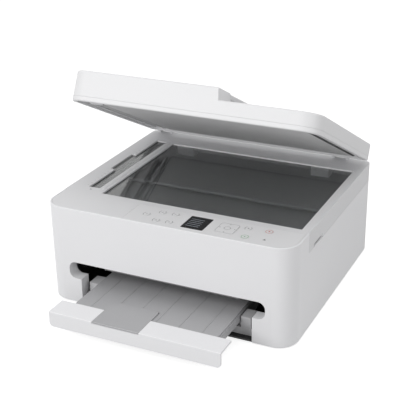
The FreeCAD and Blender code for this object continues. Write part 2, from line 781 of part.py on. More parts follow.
def make_feed_motor():
    x0, x1 = -FRAME_HALF, -FRAME_HALF + MOTOR_LONG
    can = rod_x(x0, x1, PIN_GEAR_Y, PIN_GEAR_Z, FEED_MOTOR_R)
    can = can.common(block(x0, x1, PIN_GEAR_Y - FEED_MOTOR_R, PIN_GEAR_Y + FEED_MOTOR_R,
                           PIN_GEAR_Z - FEED_MOTOR_FLAT, PIN_GEAR_Z + FEED_MOTOR_FLAT))
    shaft = rod_x(WHEEL_X - GEAR_LONG - SHEET, x0 + 1, PIN_GEAR_Y, PIN_GEAR_Z, PULLEY_SHAFT_R)
    return one(can.fuse(shaft))


def make_pinch_rollers():
    axle = hex_shaft(FRAME_HALF + SHEET, PINCH_Y, PINCH_Z, PINCH_SHAFT_R)
    rollers = [prism_x(x - PINCH_LONG / 2, x + PINCH_LONG / 2, PINCH_Y, PINCH_Z, PINCH_R, FLUTES)
               for x in spread(PINCH_COUNT, PAPER_HALF - PINCH_LONG / 2)]
    return one(axle.fuse(rollers))


def make_uturn_guide():
    outer = rod_x(-GUIDE_HALF, GUIDE_HALF, TURN_Y, TURN_Z, TURN_R + TURN_T)
    inner = rod_x(-GUIDE_HALF - 1, GUIDE_HALF + 1, TURN_Y, TURN_Z, TURN_R)
    front = block(-GUIDE_HALF - 1, GUIDE_HALF + 1, TURN_Y - 2 * TURN_R, TURN_Y, 0.0, 3 * TURN_R)
    shell = outer.cut([inner, front])
    lead, deck_z = FRAME_Y + TURN_LEAD, TURN_Z + TURN_R
    deck = block(-GUIDE_HALF, GUIDE_HALF, lead, TURN_Y + 1.0, deck_z, deck_z + TURN_T)
    legs = [block(*sorted((side * (GUIDE_HALF - TURN_LEG), side * GUIDE_HALF)), TURN_Y + TURN_R - TURN_LEG,
                  TURN_Y + TURN_R, FLOOR_Z, TURN_Z - TURN_R + TURN_LEG).cut(inner) for side in (-1, 1)]
    profile = [(lead, deck_z + TURN_T / 2), (TURN_Y, deck_z + TURN_T / 2), (TURN_Y, deck_z + TURN_RIB),
               (lead + TURN_LEAD, deck_z + TURN_RIB)]
    ribs = [side_profile(profile, x - TURN_T / 2, x + TURN_T / 2) for x in spread(TURN_RIBS,
                                                                                  GUIDE_HALF - TURN_T)]
    return one(shell.fuse([deck] + legs + ribs))


def make_carriage_motor():
    back = FRAME_Y + SHEET
    can = rod_y(PULLEY_X, back, back + MOTOR_LONG, BELT_Z, MOTOR_R)
    can = can.common(block(PULLEY_X - MOTOR_R, PULLEY_X + MOTOR_R, back, back + MOTOR_LONG,
                           BELT_Z - MOTOR_FLAT, BELT_Z + MOTOR_FLAT))
    shaft = rod_y(PULLEY_X, BELT_Y - BELT_WIDE / 2, back + 1, BELT_Z, PULLEY_SHAFT_R)
    return one(can.fuse(shaft))


def pulley(x):
    y0, y1 = BELT_Y - BELT_WIDE / 2, BELT_Y + BELT_WIDE / 2
    tip_r = PULLEY_R - BELT_T - SLIDE
    step = 2 * math.pi / PULLEY_TEETH
    points = []
    for i in range(PULLEY_TEETH):
        for share, r in ((-0.3, tip_r - BELT_T / 2), (-0.2, tip_r), (0.2, tip_r), (0.3,
                                                                                   tip_r - BELT_T / 2)):
            angle = (i + share) * step
            points.append((x + r * math.cos(angle), BELT_Z + r * math.sin(angle)))
    bore = rod_y(x, y0 - 1, y1 + 1, BELT_Z, PULLEY_SHAFT_R + RUN)
    return front_profile(points, y0, y1).cut(bore)


def belt_loop(r):
    y0 = BELT_Y - BELT_WIDE / 2
    ends = [rod_y(x, y0, y0 + BELT_WIDE, BELT_Z, r) for x in (-PULLEY_X, PULLEY_X)]
    return ends[0].fuse([ends[1], block(-PULLEY_X, PULLEY_X, y0, y0 + BELT_WIDE, BELT_Z - r, BELT_Z + r)])


def make_carriage_belt():
    return one(belt_loop(PULLEY_R).cut(belt_loop(PULLEY_R - BELT_T)))


def bay_middle(index):
    return CARRIAGE_X + (index - 0.5) * CARRIAGE_HALF


def make_print_carriage():
    front, rear = FEED_Y - CARRIAGE_FRONT, FEED_Y - CARRIAGE_REAR
    left, right = CARRIAGE_X - CARRIAGE_HALF, CARRIAGE_X + CARRIAGE_HALF
    body = rounded_plate(left, right, front, rear, CARRIAGE_LOW, CARRIAGE_HIGH, CARRIAGE_R, WALL)
    slope = [(front - 1, CARRIAGE_HIGH + 1), (front - 1, CARRIAGE_HIGH - CARRIAGE_NOSE),
             (front + CARRIAGE_NOSE, CARRIAGE_HIGH + 1)]
    cuts = [side_profile(slope, left - 1, right + 1)]
    for index in (0, 1):
        x, half = bay_middle(index), bay_half()
        cuts.append(block(x - half, x + half, front + CARRIAGE_WALL, rear - CARRIAGE_WALL,
                          CARRIAGE_LOW + CARRIAGE_WALL, CARRIAGE_HIGH + 1))
        cuts.append(block(x - NOZZLE_HALF - NOZZLE_GAP, x + NOZZLE_HALF + NOZZLE_GAP,
                          front + NOZZLE_IN - NOZZLE_GAP, front + NOZZLE_IN + NOZZLE_DEEP + NOZZLE_GAP,
                          CARRIAGE_LOW - 1, CARRIAGE_LOW + CARRIAGE_WALL + 1))
    low = RAIL_Z - RAIL_DROP
    hook = block(CARRIAGE_X - HOOK_HALF, CARRIAGE_X + HOOK_HALF, rear - 1.0, RAIL_Y + RAIL_T + HOOK_T,
                 low - HOOK_T, RAIL_Z - SLIDE)
    groove = block(left, right, RAIL_Y - SLIDE, RAIL_Y + RAIL_T + SLIDE, low - SLIDE, RAIL_Z + 1)
    clamp = block(CARRIAGE_X - CLAMP_HALF, CARRIAGE_X + CLAMP_HALF, RAIL_Y + RAIL_T + HOOK_T - 1.0,
                  BELT_Y + BELT_WIDE / 2 - 1.0, BELT_Z + PULLEY_R + SLIDE, low - 1.0)
    body = body.cut(cuts).fuse([hook.cut(groove), clamp])
    ears = [latch_ear(index, side) for index in (0, 1) for side in (-1, 1)]
    return one(body.fuse(ears + [latch_rod(index) for index in (0, 1)]))


def bay_half():
    return CARRIAGE_HALF / 2 - 0.75 * CARRIAGE_WALL


def latch_axis():
    return FEED_Y - CARRIAGE_REAR - CARRIAGE_WALL - LATCH_R - SLIDE


def latch_ear(index, side):
    x = bay_middle(index)
    inner, outer = LATCH_WIDE / 2 + SLIDE, LATCH_WIDE / 2 + SLIDE + LATCH_EAR
    return block(*sorted((x + side * inner, x + side * outer)), latch_axis() - LATCH_R,
                 FEED_Y - CARRIAGE_REAR, CARRIAGE_HIGH - 2 * LATCH_R, CARRIAGE_HIGH + LATCH_R)


def latch_rod(index):
    x, reach = bay_middle(index), LATCH_WIDE / 2 + SLIDE + LATCH_EAR / 2
    return rod_x(x - reach, x + reach, latch_axis(), CARRIAGE_HIGH, LATCH_PIN_R)


def make_latch(index):
    x, half = bay_middle(index), LATCH_WIDE / 2
    y, z = latch_axis(), CARRIAGE_HIGH
    tip = y - LATCH_LONG
    points = [(y, z - LATCH_R), (y, z + LATCH_R), (tip, z + LATCH_R), (tip - LATCH_R, z + 1.5 * LATCH_R),
              (tip - LATCH_R, z), (y - 2 * LATCH_R, z - LATCH_R)]
    lever = side_profile(points, x - half, x + half).fuse(rod_x(x - half, x + half, y, z, LATCH_R))
    return one(lever.cut(rod_x(x - half - 1, x + half + 1, y, z, LATCH_PIN_R + RUN)))


def make_cartridge(index):
    x, half = bay_middle(index), bay_half() - SLIDE
    front = FEED_Y - CARRIAGE_FRONT + CARRIAGE_WALL + SLIDE
    rear = latch_axis() - LATCH_R - CARTRIDGE_CLEAR
    low = CARRIAGE_LOW + CARRIAGE_WALL
    high = low + CARTRIDGE_HIGH
    points = [(front, low), (rear, low), (rear, high), (front + CARTRIDGE_NOSE, high),
              (front, high - CARTRIDGE_NOSE)]
    shape = side_profile(points, x - half, x + half)
    nozzle_y = FEED_Y - CARRIAGE_FRONT + NOZZLE_IN
    nozzle = block(x - NOZZLE_HALF, x + NOZZLE_HALF, nozzle_y, nozzle_y + NOZZLE_DEEP, NOZZLE_Z, low + 1.0)
    rib = block(x - NOZZLE_HALF, x + NOZZLE_HALF, front + CARTRIDGE_NOSE + LATCH_R, rear - LATCH_R,
                high - 1.0, high + CARTRIDGE_RIB)
    return one(shape.fuse([nozzle, rib]))


def make_purge_unit():
    front, back = FEED_Y - PURGE_FRONT, FEED_Y - PURGE_FRONT + PURGE_DEEP
    left, right = PURGE_LEFT, PURGE_LEFT + PURGE_WIDE
    deck_top = PURGE_TOP - CAP_DROP
    deck = block(left, right, front, back, deck_top - PURGE_HIGH, deck_top)
    leg_in = 2 * CAP_DROP
    leg = block(left + leg_in, right - CAP_DROP, front + NOZZLE_IN, back - CAP_DROP, FLOOR_Z,
                deck_top - PURGE_HIGH + 1)
    leg = leg.cut(block(left + leg_in + WALL, right - CAP_DROP - WALL, front + NOZZLE_IN - 1,
                        back - CAP_DROP - WALL, FLOOR_Z - 1, deck_top - PURGE_HIGH - WALL))
    middle = FEED_Y - CARRIAGE_FRONT + NOZZLE_IN + NOZZLE_DEEP / 2
    caps = [purge_cap(bay_middle(index), middle, deck_top) for index in (0, 1)]
    inside = block(left, right, front, back, 0.0, TOP_Z)
    wiper = block(left + CAP_DROP, right - CAP_DROP, back - leg_in, back - leg_in + 1.0,
                  deck_top - 1.0, PURGE_TOP + 1.0)
    caps = [cap for cap in [cap.common(inside) for cap in caps] if cap.Volume > 1.0]
    return one(deck.fuse([leg, wiper] + caps))


def pickup_end():
    drop = PICKUP_Z - (CASSETTE_FLOOR + PICKUP_R + PICKUP_CLEAR)
    along = math.sqrt(PICKUP_REACH ** 2 - drop ** 2)
    return PICKUP_Y + along, PICKUP_Z - drop


def purge_cap(x, y, z):
    long = NOZZLE_DEEP / 2
    outer = block(x - NOZZLE_HALF - CAP_T, x + NOZZLE_HALF + CAP_T, y - long - CAP_T, y + long + CAP_T,
                  z - 1.0, z + CAP_RISE)
    return outer.cut(block(x - NOZZLE_HALF, x + NOZZLE_HALF, y - long, y + long, z + CAP_RISE / 2,
                           z + 2 * CAP_RISE))


def make_pickup_arm():
    y, z = pickup_end()
    reach = FRAME_HALF + SHEET + SHAFT_OUT / 2
    shaft = rod_x(-reach, reach, PICKUP_Y, PICKUP_Z, PICKUP_SHAFT_R)
    lean = math.degrees(math.atan2(PICKUP_Z - z, y - PICKUP_Y))
    half = PICKUP_ARM_HIGH / 2
    inner, outer = PICKUP_HALF + SLIDE, PICKUP_HALF + SLIDE + PICKUP_ARM_T
    bars = [block(*sorted((side * inner, side * outer)), PICKUP_Y - half, PICKUP_Y + PICKUP_REACH + half,
                  PICKUP_Z - half, PICKUP_Z + half) for side in (-1, 1)]
    bridge = block(-inner - 1.0, inner + 1.0, PICKUP_Y + PICKUP_SHAFT_R + PICKUP_ARM_T,
                   PICKUP_Y + PICKUP_REACH / 2,
                   PICKUP_Z + half - PICKUP_ARM_T, PICKUP_Z + half)
    for shape in bars + [bridge]:
        shape.rotate(V(0, PICKUP_Y, PICKUP_Z), V(1, 0, 0), -lean)
    pin = rod_x(-inner - 1.0, inner + 1.0, y, z, PICKUP_PIN_R)
    return one(shaft.fuse(bars + [bridge, pin]))


def make_pickup_roller():
    y, z = pickup_end()
    tyre = rod_x(-PICKUP_HALF, PICKUP_HALF, y, z, PICKUP_R)
    return tyre.cut(rod_x(-PICKUP_HALF - 1, PICKUP_HALF + 1, y, z, PICKUP_PIN_R + RUN))


# Paper cassette
def cassette_block(side):
    x0, x1 = sorted((side * BLOCK_INNER, side * (BLOCK_INNER + BLOCK_WIDE)))
    piece = block(x0, x1, CASSETTE_Y, CASSETTE_Y + BLOCK_DEEP, CASSETTE_Z, BLOCK_TOP)
    middle = side * (BLOCK_INNER + BLOCK_WIDE / 2)
    hollow = block(middle - BLOCK_WIDE / 2 + WALL, middle + BLOCK_WIDE / 2 - WALL, CASSETTE_Y + WALL,
                   CASSETTE_Y + BLOCK_DEEP + 1, CASSETTE_Z - 1, BLOCK_TOP - WALL)
    return piece.cut(hollow)


def make_paper_cassette():
    front, rear = CASSETTE_Y, CASSETTE_Y + CASSETTE_LONG
    half, top = CASSETTE_HALF, CASSETTE_TOP + 1
    tub = block(-half, half, front, rear, CASSETTE_Z, CASSETTE_TOP)
    inside = block(-half + CASSETTE_WALL, half - CASSETTE_WALL, front + SILL_T, rear - CASSETTE_WALL,
                   CASSETTE_FLOOR, top)
    low_front = block(-half - 1, half + 1, front - 1, front + SILL_T, CASSETTE_Z + SILL_HIGH, top)
    notch = block(-NOTCH_HALF, NOTCH_HALF, rear - CASSETTE_WALL - 1, rear + 1, CASSETTE_FLOOR, top)
    wide = OPENING_HALF - SILL_GAP
    sill = block(-wide, wide, front, front + SILL_T, CASSETTE_Z, CASSETTE_Z + SILL_HIGH)
    grip = rounded_front(-PULL_HALF, PULL_HALF, CASSETTE_Z - PULL_R - 1, CASSETTE_Z + SILL_HIGH / 2,
                         front - 1, front + SILL_T / 2, PULL_R)
    joins = [block(*sorted((side * (half - 1.0), side * (BLOCK_INNER + 1.0))), front, front + BLOCK_DEEP,
                   CASSETTE_Z, CASSETTE_Z + SILL_HIGH) for side in (-1, 1)]
    cassette = tub.cut([inside, low_front, notch]).fuse([sill] + joins + both_sides(cassette_block))
    channels = [block(-PAPER_HALF - CHANNEL, PAPER_HALF + CHANNEL, guide_middle() + y - CHANNEL / 2,
                      guide_middle() + y + CHANNEL / 2, CASSETTE_FLOOR - CASSETTE_WALL / 2, CASSETTE_FLOOR + 1)
                for y in (-SIDE_GUIDE_FOOT, SIDE_GUIDE_FOOT)]
    return one(cassette.cut([grip] + channels))


def guide_middle():
    return CASSETTE_Y + CASSETTE_LONG / 2 + GUIDE_OFF


def make_side_guide(side):
    low = CASSETTE_FLOOR + SLIDE
    inner = side * (PAPER_HALF + SLIDE)
    outer = side * (PAPER_HALF + SLIDE + SIDE_GUIDE_T)
    y0, y1 = guide_middle() - SIDE_GUIDE_LONG / 2, guide_middle() + SIDE_GUIDE_LONG / 2
    wall = block(*sorted((inner, outer)), y0, y1, low, CASSETTE_TOP - 1.0)
    foot = block(*sorted((side * (PAPER_HALF - SIDE_GUIDE_FOOT), outer)), guide_middle() - SIDE_GUIDE_GRIP,
                 guide_middle() + SIDE_GUIDE_GRIP, low, low + SHEET)
    grip = block(*sorted((inner, side * (PAPER_HALF + SLIDE + SIDE_GUIDE_T + SIDE_GUIDE_LIP))),
                 guide_middle() - SIDE_GUIDE_GRIP,
                 guide_middle() + SIDE_GUIDE_GRIP, low, CASSETTE_TOP - SIDE_GUIDE_LIP)
    return one(wall.fuse([foot, grip]))


# Output tray
def support_bay(clearance):
    return SUPPORT_LEFT - clearance, SUPPORT_RIGHT + clearance


def make_output_tray():
    front = LIP_Y + STRIP_DEEP
    rear = front + TRAY_LONG
    low = TRAY_Z - TRAY_T
    deck = block(-TRAY_HALF, TRAY_HALF, front, rear, low, TRAY_Z)
    tongue = block(-TRAY_HALF, TRAY_HALF, LIP_Y + LIP_T, front + 1.0, LIP_TOP - LIP_T - TRAY_T,
                   LIP_TOP - LIP_T)
    skirts = []
    for side in (-1, 1):
        x0, x1 = sorted((side * (CASSETTE_HALF - TRAY_SKIRT), side * CASSETTE_HALF))
        skirts.append(block(x0, x1, LIP_Y + LIP_T, rear, CASSETTE_TOP + SLIDE, low + 0.5))
        x0, x1 = sorted((side * (TRAY_HALF - TRAY_SKIRT), side * CASSETTE_HALF))
        skirts.append(block(x0, x1, LIP_Y + LIP_T, rear, low - TRAY_T, low + 0.5))
    ribs = [block(x - TRAY_RIB, x + TRAY_RIB, front + 1.0, rear, TRAY_Z - 0.5, TRAY_Z + 0.5)
            for x in spread(TRAY_RIBS, TRAY_HALF - TRAY_RIBS_IN)]
    left, right = support_bay(SLIDE)
    rest = LIP_TOP - SUPPORT_T - SLIDE
    well = block(left, right, LIP_Y - 1, LIP_Y + SUPPORT_LONG + 2 * SLIDE, rest, LIP_TOP + 1)
    return one(deck.fuse([tongue, support_floor()] + skirts + ribs).cut(well))


def support_floor():
    left, right = support_bay(SLIDE + WALL)
    return block(left, right, LIP_Y + LIP_T, LIP_Y + SUPPORT_LONG + 2 * WALL,
                 LIP_TOP - SUPPORT_T - SLIDE - TRAY_SKIRT, LIP_TOP - LIP_T)


def make_tray_lip():
    strip = block(-LIP_HALF, LIP_HALF, LIP_Y, LIP_Y + STRIP_DEEP - SEAM, LIP_TOP - LIP_T, LIP_TOP)
    panel = rounded_front(-LIP_HALF, LIP_HALF, LIP_LOW, LIP_TOP + LIP_R, LIP_Y, LIP_Y + LIP_T, LIP_R)
    panel = panel.common(block(-LIP_HALF, LIP_HALF, LIP_Y, LIP_Y + LIP_T, LIP_LOW, LIP_TOP))
    lip = strip.fuse(panel)
    lip = lip.makeFillet(LIP_EDGE_R, [e for e in lip.Edges if abs(e.BoundBox.YMax - LIP_Y) < 1e-6
                                      and abs(e.BoundBox.ZMin - LIP_TOP) < 1e-6])
    left, right = support_bay(SLIDE)
    rest = LIP_TOP - SUPPORT_T - SLIDE
    well = block(left, right, LIP_Y - 1, LIP_Y + STRIP_DEEP + 1, rest, LIP_TOP + 1)
    y, z = support_axis()
    hole = rod_x(left - SUPPORT_PIN, right + SUPPORT_PIN, y, z, SUPPORT_PIN_R + RUN)
    return one(lip.cut([well, hole, support_floor()]))


def support_axis():
    return LIP_Y + SUPPORT_T / 2 + SLIDE, LIP_TOP - SUPPORT_T / 2


def make_paper_support():
    y, z = support_axis()
    low, rear = LIP_TOP - SUPPORT_T, LIP_Y + SUPPORT_LONG
    plate = rounded_plate(SUPPORT_LEFT, SUPPORT_RIGHT, y, rear, low, LIP_TOP, SUPPORT_T / 4, SUPPORT_R)
    barrel = rod_x(SUPPORT_LEFT, SUPPORT_RIGHT, y, z, SUPPORT_T / 2)
    reach = SUPPORT_PIN - 2 * SLIDE
    pin = rod_x(SUPPORT_LEFT - reach, SUPPORT_RIGHT + reach, y, z, SUPPORT_PIN_R)
    return one(plate.fuse([barrel, pin]))


# Scanner unit
def unit_solid(z0, z1):
    split = WRAP_Y + SEAM
    rear = body_solid(0.0, z0, z1).common(block(-SIDE_X - 1, SIDE_X + 1, split, REAR_Y + 1, z0, z1))
    front = body_solid(UNIT_IN, z0, z1).common(block(-SIDE_X - 1, SIDE_X + 1, FRONT_Y, split + 1, z0, z1))
    return rear.fuse(front).removeSplitter()


def rolled_rear_cut():
    sharp = block(-SIDE_X - 1, SIDE_X + 1, UNIT_Y, REAR_Y + 1, UNIT_LOW - 1, UNIT_Z)
    return sharp.cut(rod_x(-SIDE_X - 2, SIDE_X + 2, UNIT_Y, UNIT_Z, UNIT_HINGE_IN))


def unit_hinge_notch(side, low):
    x = side * POST_X
    half = POST_HALF + HINGE_GAP
    return block(x - half, x + half, UNIT_Y - HINGE_ROOM, REAR_Y + 1, low, UNIT_Z + POST_R + HINGE_GAP)


def unit_cheeks(side):
    x = side * POST_X
    half = POST_HALF + HINGE_GAP
    return block(x - half - CHEEK, x + half + CHEEK, UNIT_Y - HINGE_ROOM - CHEEK, REAR_Y - WALL,
                 PAN_TOP + SEAM, TOP_Z - TOP_T / 2)


def unit_pin(side):
    x = side * POST_X
    half = POST_HALF + HINGE_GAP
    return rod_x(x - half - 1.0, x + half + 1.0, UNIT_Y, UNIT_Z, UNIT_PIN_R)


def lid_ears(x):
    r, half = LID_EAR_R, LID_EAR_R / 2
    head = [(LID_Y - r, TOP_Z - TOP_T / 2), (REAR_Y, TOP_Z - TOP_T / 2), (LID_Y + r, LID_Z), (LID_Y + r,
                                                                                              LID_Z + half),
            (LID_Y + half, LID_Z + r), (LID_Y - half, LID_Z + r), (LID_Y - r, LID_Z + half)]
    inner, outer = LID_ARM_HALF + SLIDE, LID_ARM_HALF + SLIDE + LID_EAR_T
    ears = [side_profile(head, x - outer, x - inner), side_profile(head, x + inner, x + outer)]
    reach = inner + LID_EAR_T / 2
    return ears + [rod_x(x - reach, x + reach, LID_Y, LID_Z, LID_PIN_R)]


def glass_window():
    return block(GLASS_LEFT, GLASS_RIGHT, GLASS_FRONT, GLASS_REAR, TOP_Z - 2 * TOP_T, TOP_Z + 1)


def strip_outline(inset, z0, z1):
    slit = block(STRIP_LEFT - inset, STRIP_RIGHT + inset, STRIP_FRONT - inset, STRIP_REAR + inset, z0, z1)
    notch = block(STRIP_LEFT - STRIP_NOTCH - inset, STRIP_LEFT, STRIP_NOTCH_FRONT - inset,
                  STRIP_NOTCH_REAR + inset, z0, z1)
    return slit.fuse(notch).removeSplitter()


def panel_solid(inset, z0, z1):
    edge = UNIT_IN + SEAM + TOP_EDGE + inset
    front, rear = FRONT_Y + edge, FRONT_Y + PANEL_REAR - inset
    square = block(PANEL_LEFT + inset, SIDE_X, front, rear, z0, z1)
    return square.common(body_solid(edge, z0, z1)).removeSplitter()


def finger_grip(side):
    reach = SIDE_X + GRIP_HIGH - GRIP_DEEP
    y0 = FRONT_Y + GRIP_FRONT
    scoop = rod_y(side * reach, y0, y0 + GRIP_LONG, UNIT_LOW, GRIP_HIGH)
    return scoop.makeChamfer(GRIP_SLOPE, scoop.Edges[0:1] + scoop.Edges[2:3])


def make_scanner_frame():
    cap = unit_solid(UNIT_LOW, TOP_Z)
    cavity = body_solid(CAVITY_IN, UNIT_LOW - 1, TOP_Z - TOP_T)
    cap = cap.cut([cavity] + both_sides(finger_grip))
    ledge = panel_solid(-WALL, TOP_Z - PANEL_T - SEAM - WALL, TOP_Z - TOP_T / 2)
    bar_r = TOP_T / 2 + BAR_RISE
    bar = rod_y(0.5 * (STRIP_RIGHT + GLASS_LEFT), STRIP_FRONT, STRIP_REAR, TOP_Z - TOP_T / 2, bar_r)
    cap = cap.fuse(both_sides(unit_cheeks) + [bar, ledge.common(cap.fuse(cavity))])
    cuts = [glass_window(), strip_outline(0.0, TOP_Z - 2 * TOP_T, TOP_Z + 1), rolled_rear_cut(),
            panel_solid(0.0, TOP_Z - PANEL_T - SEAM, TOP_Z + 1),
            panel_solid(LEDGE, TOP_Z - 3 * PANEL_T, TOP_Z + 1)]
    cuts += both_sides(lambda side: unit_hinge_notch(side, UNIT_LOW - 1))
    cap = cap.cut(cuts)
    return one(cap.fuse(both_sides(unit_pin) + lid_ears(LID_LEFT_HINGE) + lid_ears(LID_RIGHT_HINGE)))


def make_scanner_pan():
    inset = CAVITY_IN + SEAM
    pan = body_solid(inset, UNIT_LOW, PAN_TOP + PAN_RIM)
    pan = pan.cut(body_solid(inset + WALL, PAN_TOP, PAN_TOP + PAN_RIM + 1.0))
    end = SIDE_X - inset - 1.0
    rail = rod_x(-end, end, 0.0, PAN_TOP + SCAN_RAIL_RISE, SCAN_RAIL_R)
    stands = [block(x - STAND_HALF, x + STAND_HALF, -2 * STAND_HALF, 2 * STAND_HALF, PAN_TOP - 1.0,
                    PAN_TOP + SCAN_RAIL_RISE + SCAN_RAIL_R) for x in (STAND_IN - end, end - STAND_IN)]
    notches = both_sides(lambda side: unit_hinge_notch(side, UNIT_LOW - 1).fuse(unit_cheeks(side)))
    return one(pan.fuse([rail] + stands).cut(notches + [rolled_rear_cut()]))


def make_platen_glass():
    lap = GLASS_LAP
    return block(GLASS_LEFT - lap, GLASS_RIGHT + lap, GLASS_FRONT - lap, GLASS_REAR + lap,
                 GLASS_TOP - GLASS_T, GLASS_TOP)


def make_feeder_glass():
    return one(strip_outline(GLASS_LAP, GLASS_TOP - GLASS_T, GLASS_TOP))


def make_scan_head():
    middle = 0.5 * (STRIP_FRONT + STRIP_REAR)
    low = SCAN_TOP - SCAN_HIGH
    left, right = SCAN_X - SCAN_HALF, SCAN_X + SCAN_HALF
    points = [(left, low), (right, low), (right, SCAN_TOP - SCAN_SLOPE), (right - SCAN_SLOPE, SCAN_TOP),
              (left + SCAN_SLOPE, SCAN_TOP), (left, SCAN_TOP - SCAN_SLOPE)]
    y0, y1 = middle - SCAN_LONG / 2, middle + SCAN_LONG / 2
    bar = front_profile(points, y0, y1)
    lens = block(SCAN_X - SCAN_LENS, SCAN_X + SCAN_LENS, y0 + SCAN_SLOPE, y1 - SCAN_SLOPE,
                 SCAN_TOP - SCAN_LENS / 2, SCAN_TOP + 1.0)
    shoe = block(left, right, -SCAN_HALF, SCAN_HALF, PAN_TOP + WALL, low + 1.0)
    bore = rod_x(left - 1, right + 1, 0.0, PAN_TOP + SCAN_RAIL_RISE, SCAN_RAIL_R + RUN)
    return one(bar.cut(lens).fuse(shoe).cut(bore))


# Operation panel
def key_place(name):
    x, back = KEYS[name]
    return x, FRONT_Y + back


def key_hole(x, y, r):
    return rod_z(x, y, TOP_Z - PANEL_T - 1, TOP_Z + 1, r + SLIDE)


def pad_outline(grow, z0, z1):
    y = FRONT_Y + PAD_BACK
    return rounded_plate(PAD_X - PAD_WIDE / 2 - grow, PAD_X + PAD_WIDE / 2 + grow, y - PAD_LONG / 2 - grow,
                         y + PAD_LONG / 2 + grow, z0, z1, PAD_R + grow)


def display_outline(grow, z0, z1):
    y = FRONT_Y + DISPLAY_BACK
    return rounded_plate(DISPLAY_X - DISPLAY_WIDE / 2 - grow, DISPLAY_X + DISPLAY_WIDE / 2 + grow,
                         y - DISPLAY_LONG / 2 - grow, y + DISPLAY_LONG / 2 + grow, z0, z1, DISPLAY_R + grow)


def make_operation_panel():
    low = TOP_Z - PANEL_T
    panel = panel_solid(SEAM / 2, low, TOP_Z).fuse(panel_posts())
    holes = [key_hole(*key_place(name), KEY_R) for name in KEYS]
    holes += [pad_outline(SLIDE, low - 1, TOP_Z + 1), display_outline(SEAM / 2, low - 1, TOP_Z + 1)]
    return one(panel.cut(holes))


def panel_posts():
    half = PANEL_POST / 2
    return [block(x - half, x + half, FRONT_Y + back - half, FRONT_Y + back + half, BOARD_TOP,
                  TOP_Z - PANEL_T + 1.0) for x, back in PANEL_POSTS]


def make_panel_board():
    board = panel_solid(PANEL_BOARD_IN, BOARD_TOP - BOARD_T, BOARD_TOP)
    low = BOARD_TOP - BOARD_T
    sockets = [block(x - SOCKET_HALF, x + SOCKET_HALF, FRONT_Y + DISPLAY_BACK - SOCKET_DEEP,
                     FRONT_Y + DISPLAY_BACK,
                     low - SOCKET_HIGH, low + 0.5) for x in (DISPLAY_X, PAD_X)]
    return one(board.fuse(sockets))


def make_display():
    glass = display_outline(0.0, TOP_Z - PANEL_T - SEAM, TOP_Z - SEAM / 2)
    x, y = DISPLAY_X, FRONT_Y + DISPLAY_BACK
    wide, long = DISPLAY_WIDE / 2 + DISPLAY_RIM, DISPLAY_LONG / 2 + DISPLAY_RIM
    module = block(x - wide, x + wide, y - long, y + long, TOP_Z - PANEL_T - DISPLAY_T,
                   TOP_Z - PANEL_T - SEAM / 2)
    return one(glass.fuse(module))


def key_solid(x, y, r, top, flange_top):
    half = r + KEY_SKIRT
    cap = rod_z(x, y, flange_top - KEY_SKIRT_T, top, r)
    flange = block(x - half, x + half, y - half, y + half, flange_top - KEY_SKIRT_T, flange_top)
    plunger = block(x - KEY_PLUNGER, x + KEY_PLUNGER, y - KEY_PLUNGER, y + KEY_PLUNGER,
                    BOARD_TOP + KEY_TRAVEL + SLIDE, flange_top - KEY_SKIRT_T / 2)
    return one(cap.fuse([flange, plunger]))


def make_key(name):
    return key_solid(*key_place(name), KEY_R, TOP_Z + KEY_RISE, TOP_Z - PANEL_T - SLIDE)


def make_navigation_pad():
    low = TOP_Z - PANEL_T - SLIDE
    pad = pad_outline(0.0, low - KEY_SKIRT_T, TOP_Z + KEY_RISE)
    x, y = PAD_X, FRONT_Y + PAD_BACK
    wide, long = PAD_WIDE / 2 + KEY_SKIRT, PAD_LONG / 2 + KEY_SKIRT
    flange = block(x - wide, x + wide, y - long, y + long, low - KEY_SKIRT_T, low)
    hole = rod_z(x, y, low - 2 * KEY_SKIRT_T, TOP_Z + 1, OK_R + SLIDE)
    return one(pad.fuse(flange).cut(hole))


def make_ok_key():
    flange_top = TOP_Z - PANEL_T - SLIDE - KEY_SKIRT_T - KEY_TRAVEL - SLIDE
    return key_solid(PAD_X, FRONT_Y + PAD_BACK, OK_R, TOP_Z + 2 * KEY_RISE, flange_top)


# Lid with the document feeder, drawn closed and then turned to its open rest place
def opened(shape):
    turned = shape.copy()
    turned.rotate(V(0, LID_Y, LID_Z), V(-1, 0, 0), LID_OPEN)
    return turned


def lid_solid(inset, z0, z1):
    return rounded_plate(-LID_SIDE + inset, LID_SIDE - inset, LID_FRONT + inset, LID_REAR - inset, z0, z1,
                         LID_R - inset, max(REAR_R - inset, WALL))


def lid_arm(x):
    x0, x1 = x - LID_ARM_HALF, x + LID_ARM_HALF
    arm = block(x0, x1, LID_REAR - LID_RIM, LID_Y, LID_Z - LID_BARREL_R, LID_SEAM - SEAM)
    arm = arm.fuse(rod_x(x0, x1, LID_Y, LID_Z, LID_BARREL_R))
    return arm.cut(rod_x(x0 - 1, x1 + 1, LID_Y, LID_Z, LID_PIN_R + RUN))


def make_lid_base():
    base = lid_solid(0.0, LID_BOTTOM, LID_SEAM)
    base = base.makeChamfer(LID_BASE_EDGE, level_edges(base, LID_BOTTOM))
    hollow = lid_solid(LID_RIM, LID_BOTTOM - 1, LID_SEAM - LID_WEB)
    left, right = STRIP_LEFT - READ_SLIT, STRIP_RIGHT - 3 * READ_SLIT
    front, rear = STRIP_FRONT + READ_SLIT, STRIP_REAR - READ_SLIT
    slit = block(left, right, front, rear, LID_BOTTOM - 1, LID_SEAM + 1)
    frame = block(left - READ_RIM, right + READ_RIM, front - READ_RIM, rear + READ_RIM,
                  LID_BOTTOM + 1.0, LID_SEAM - LID_WEB / 2)
    base = base.cut(hollow).fuse(frame).cut(slit)
    return one(base.fuse([lid_arm(LID_LEFT_HINGE), lid_arm(LID_RIGHT_HINGE)]))


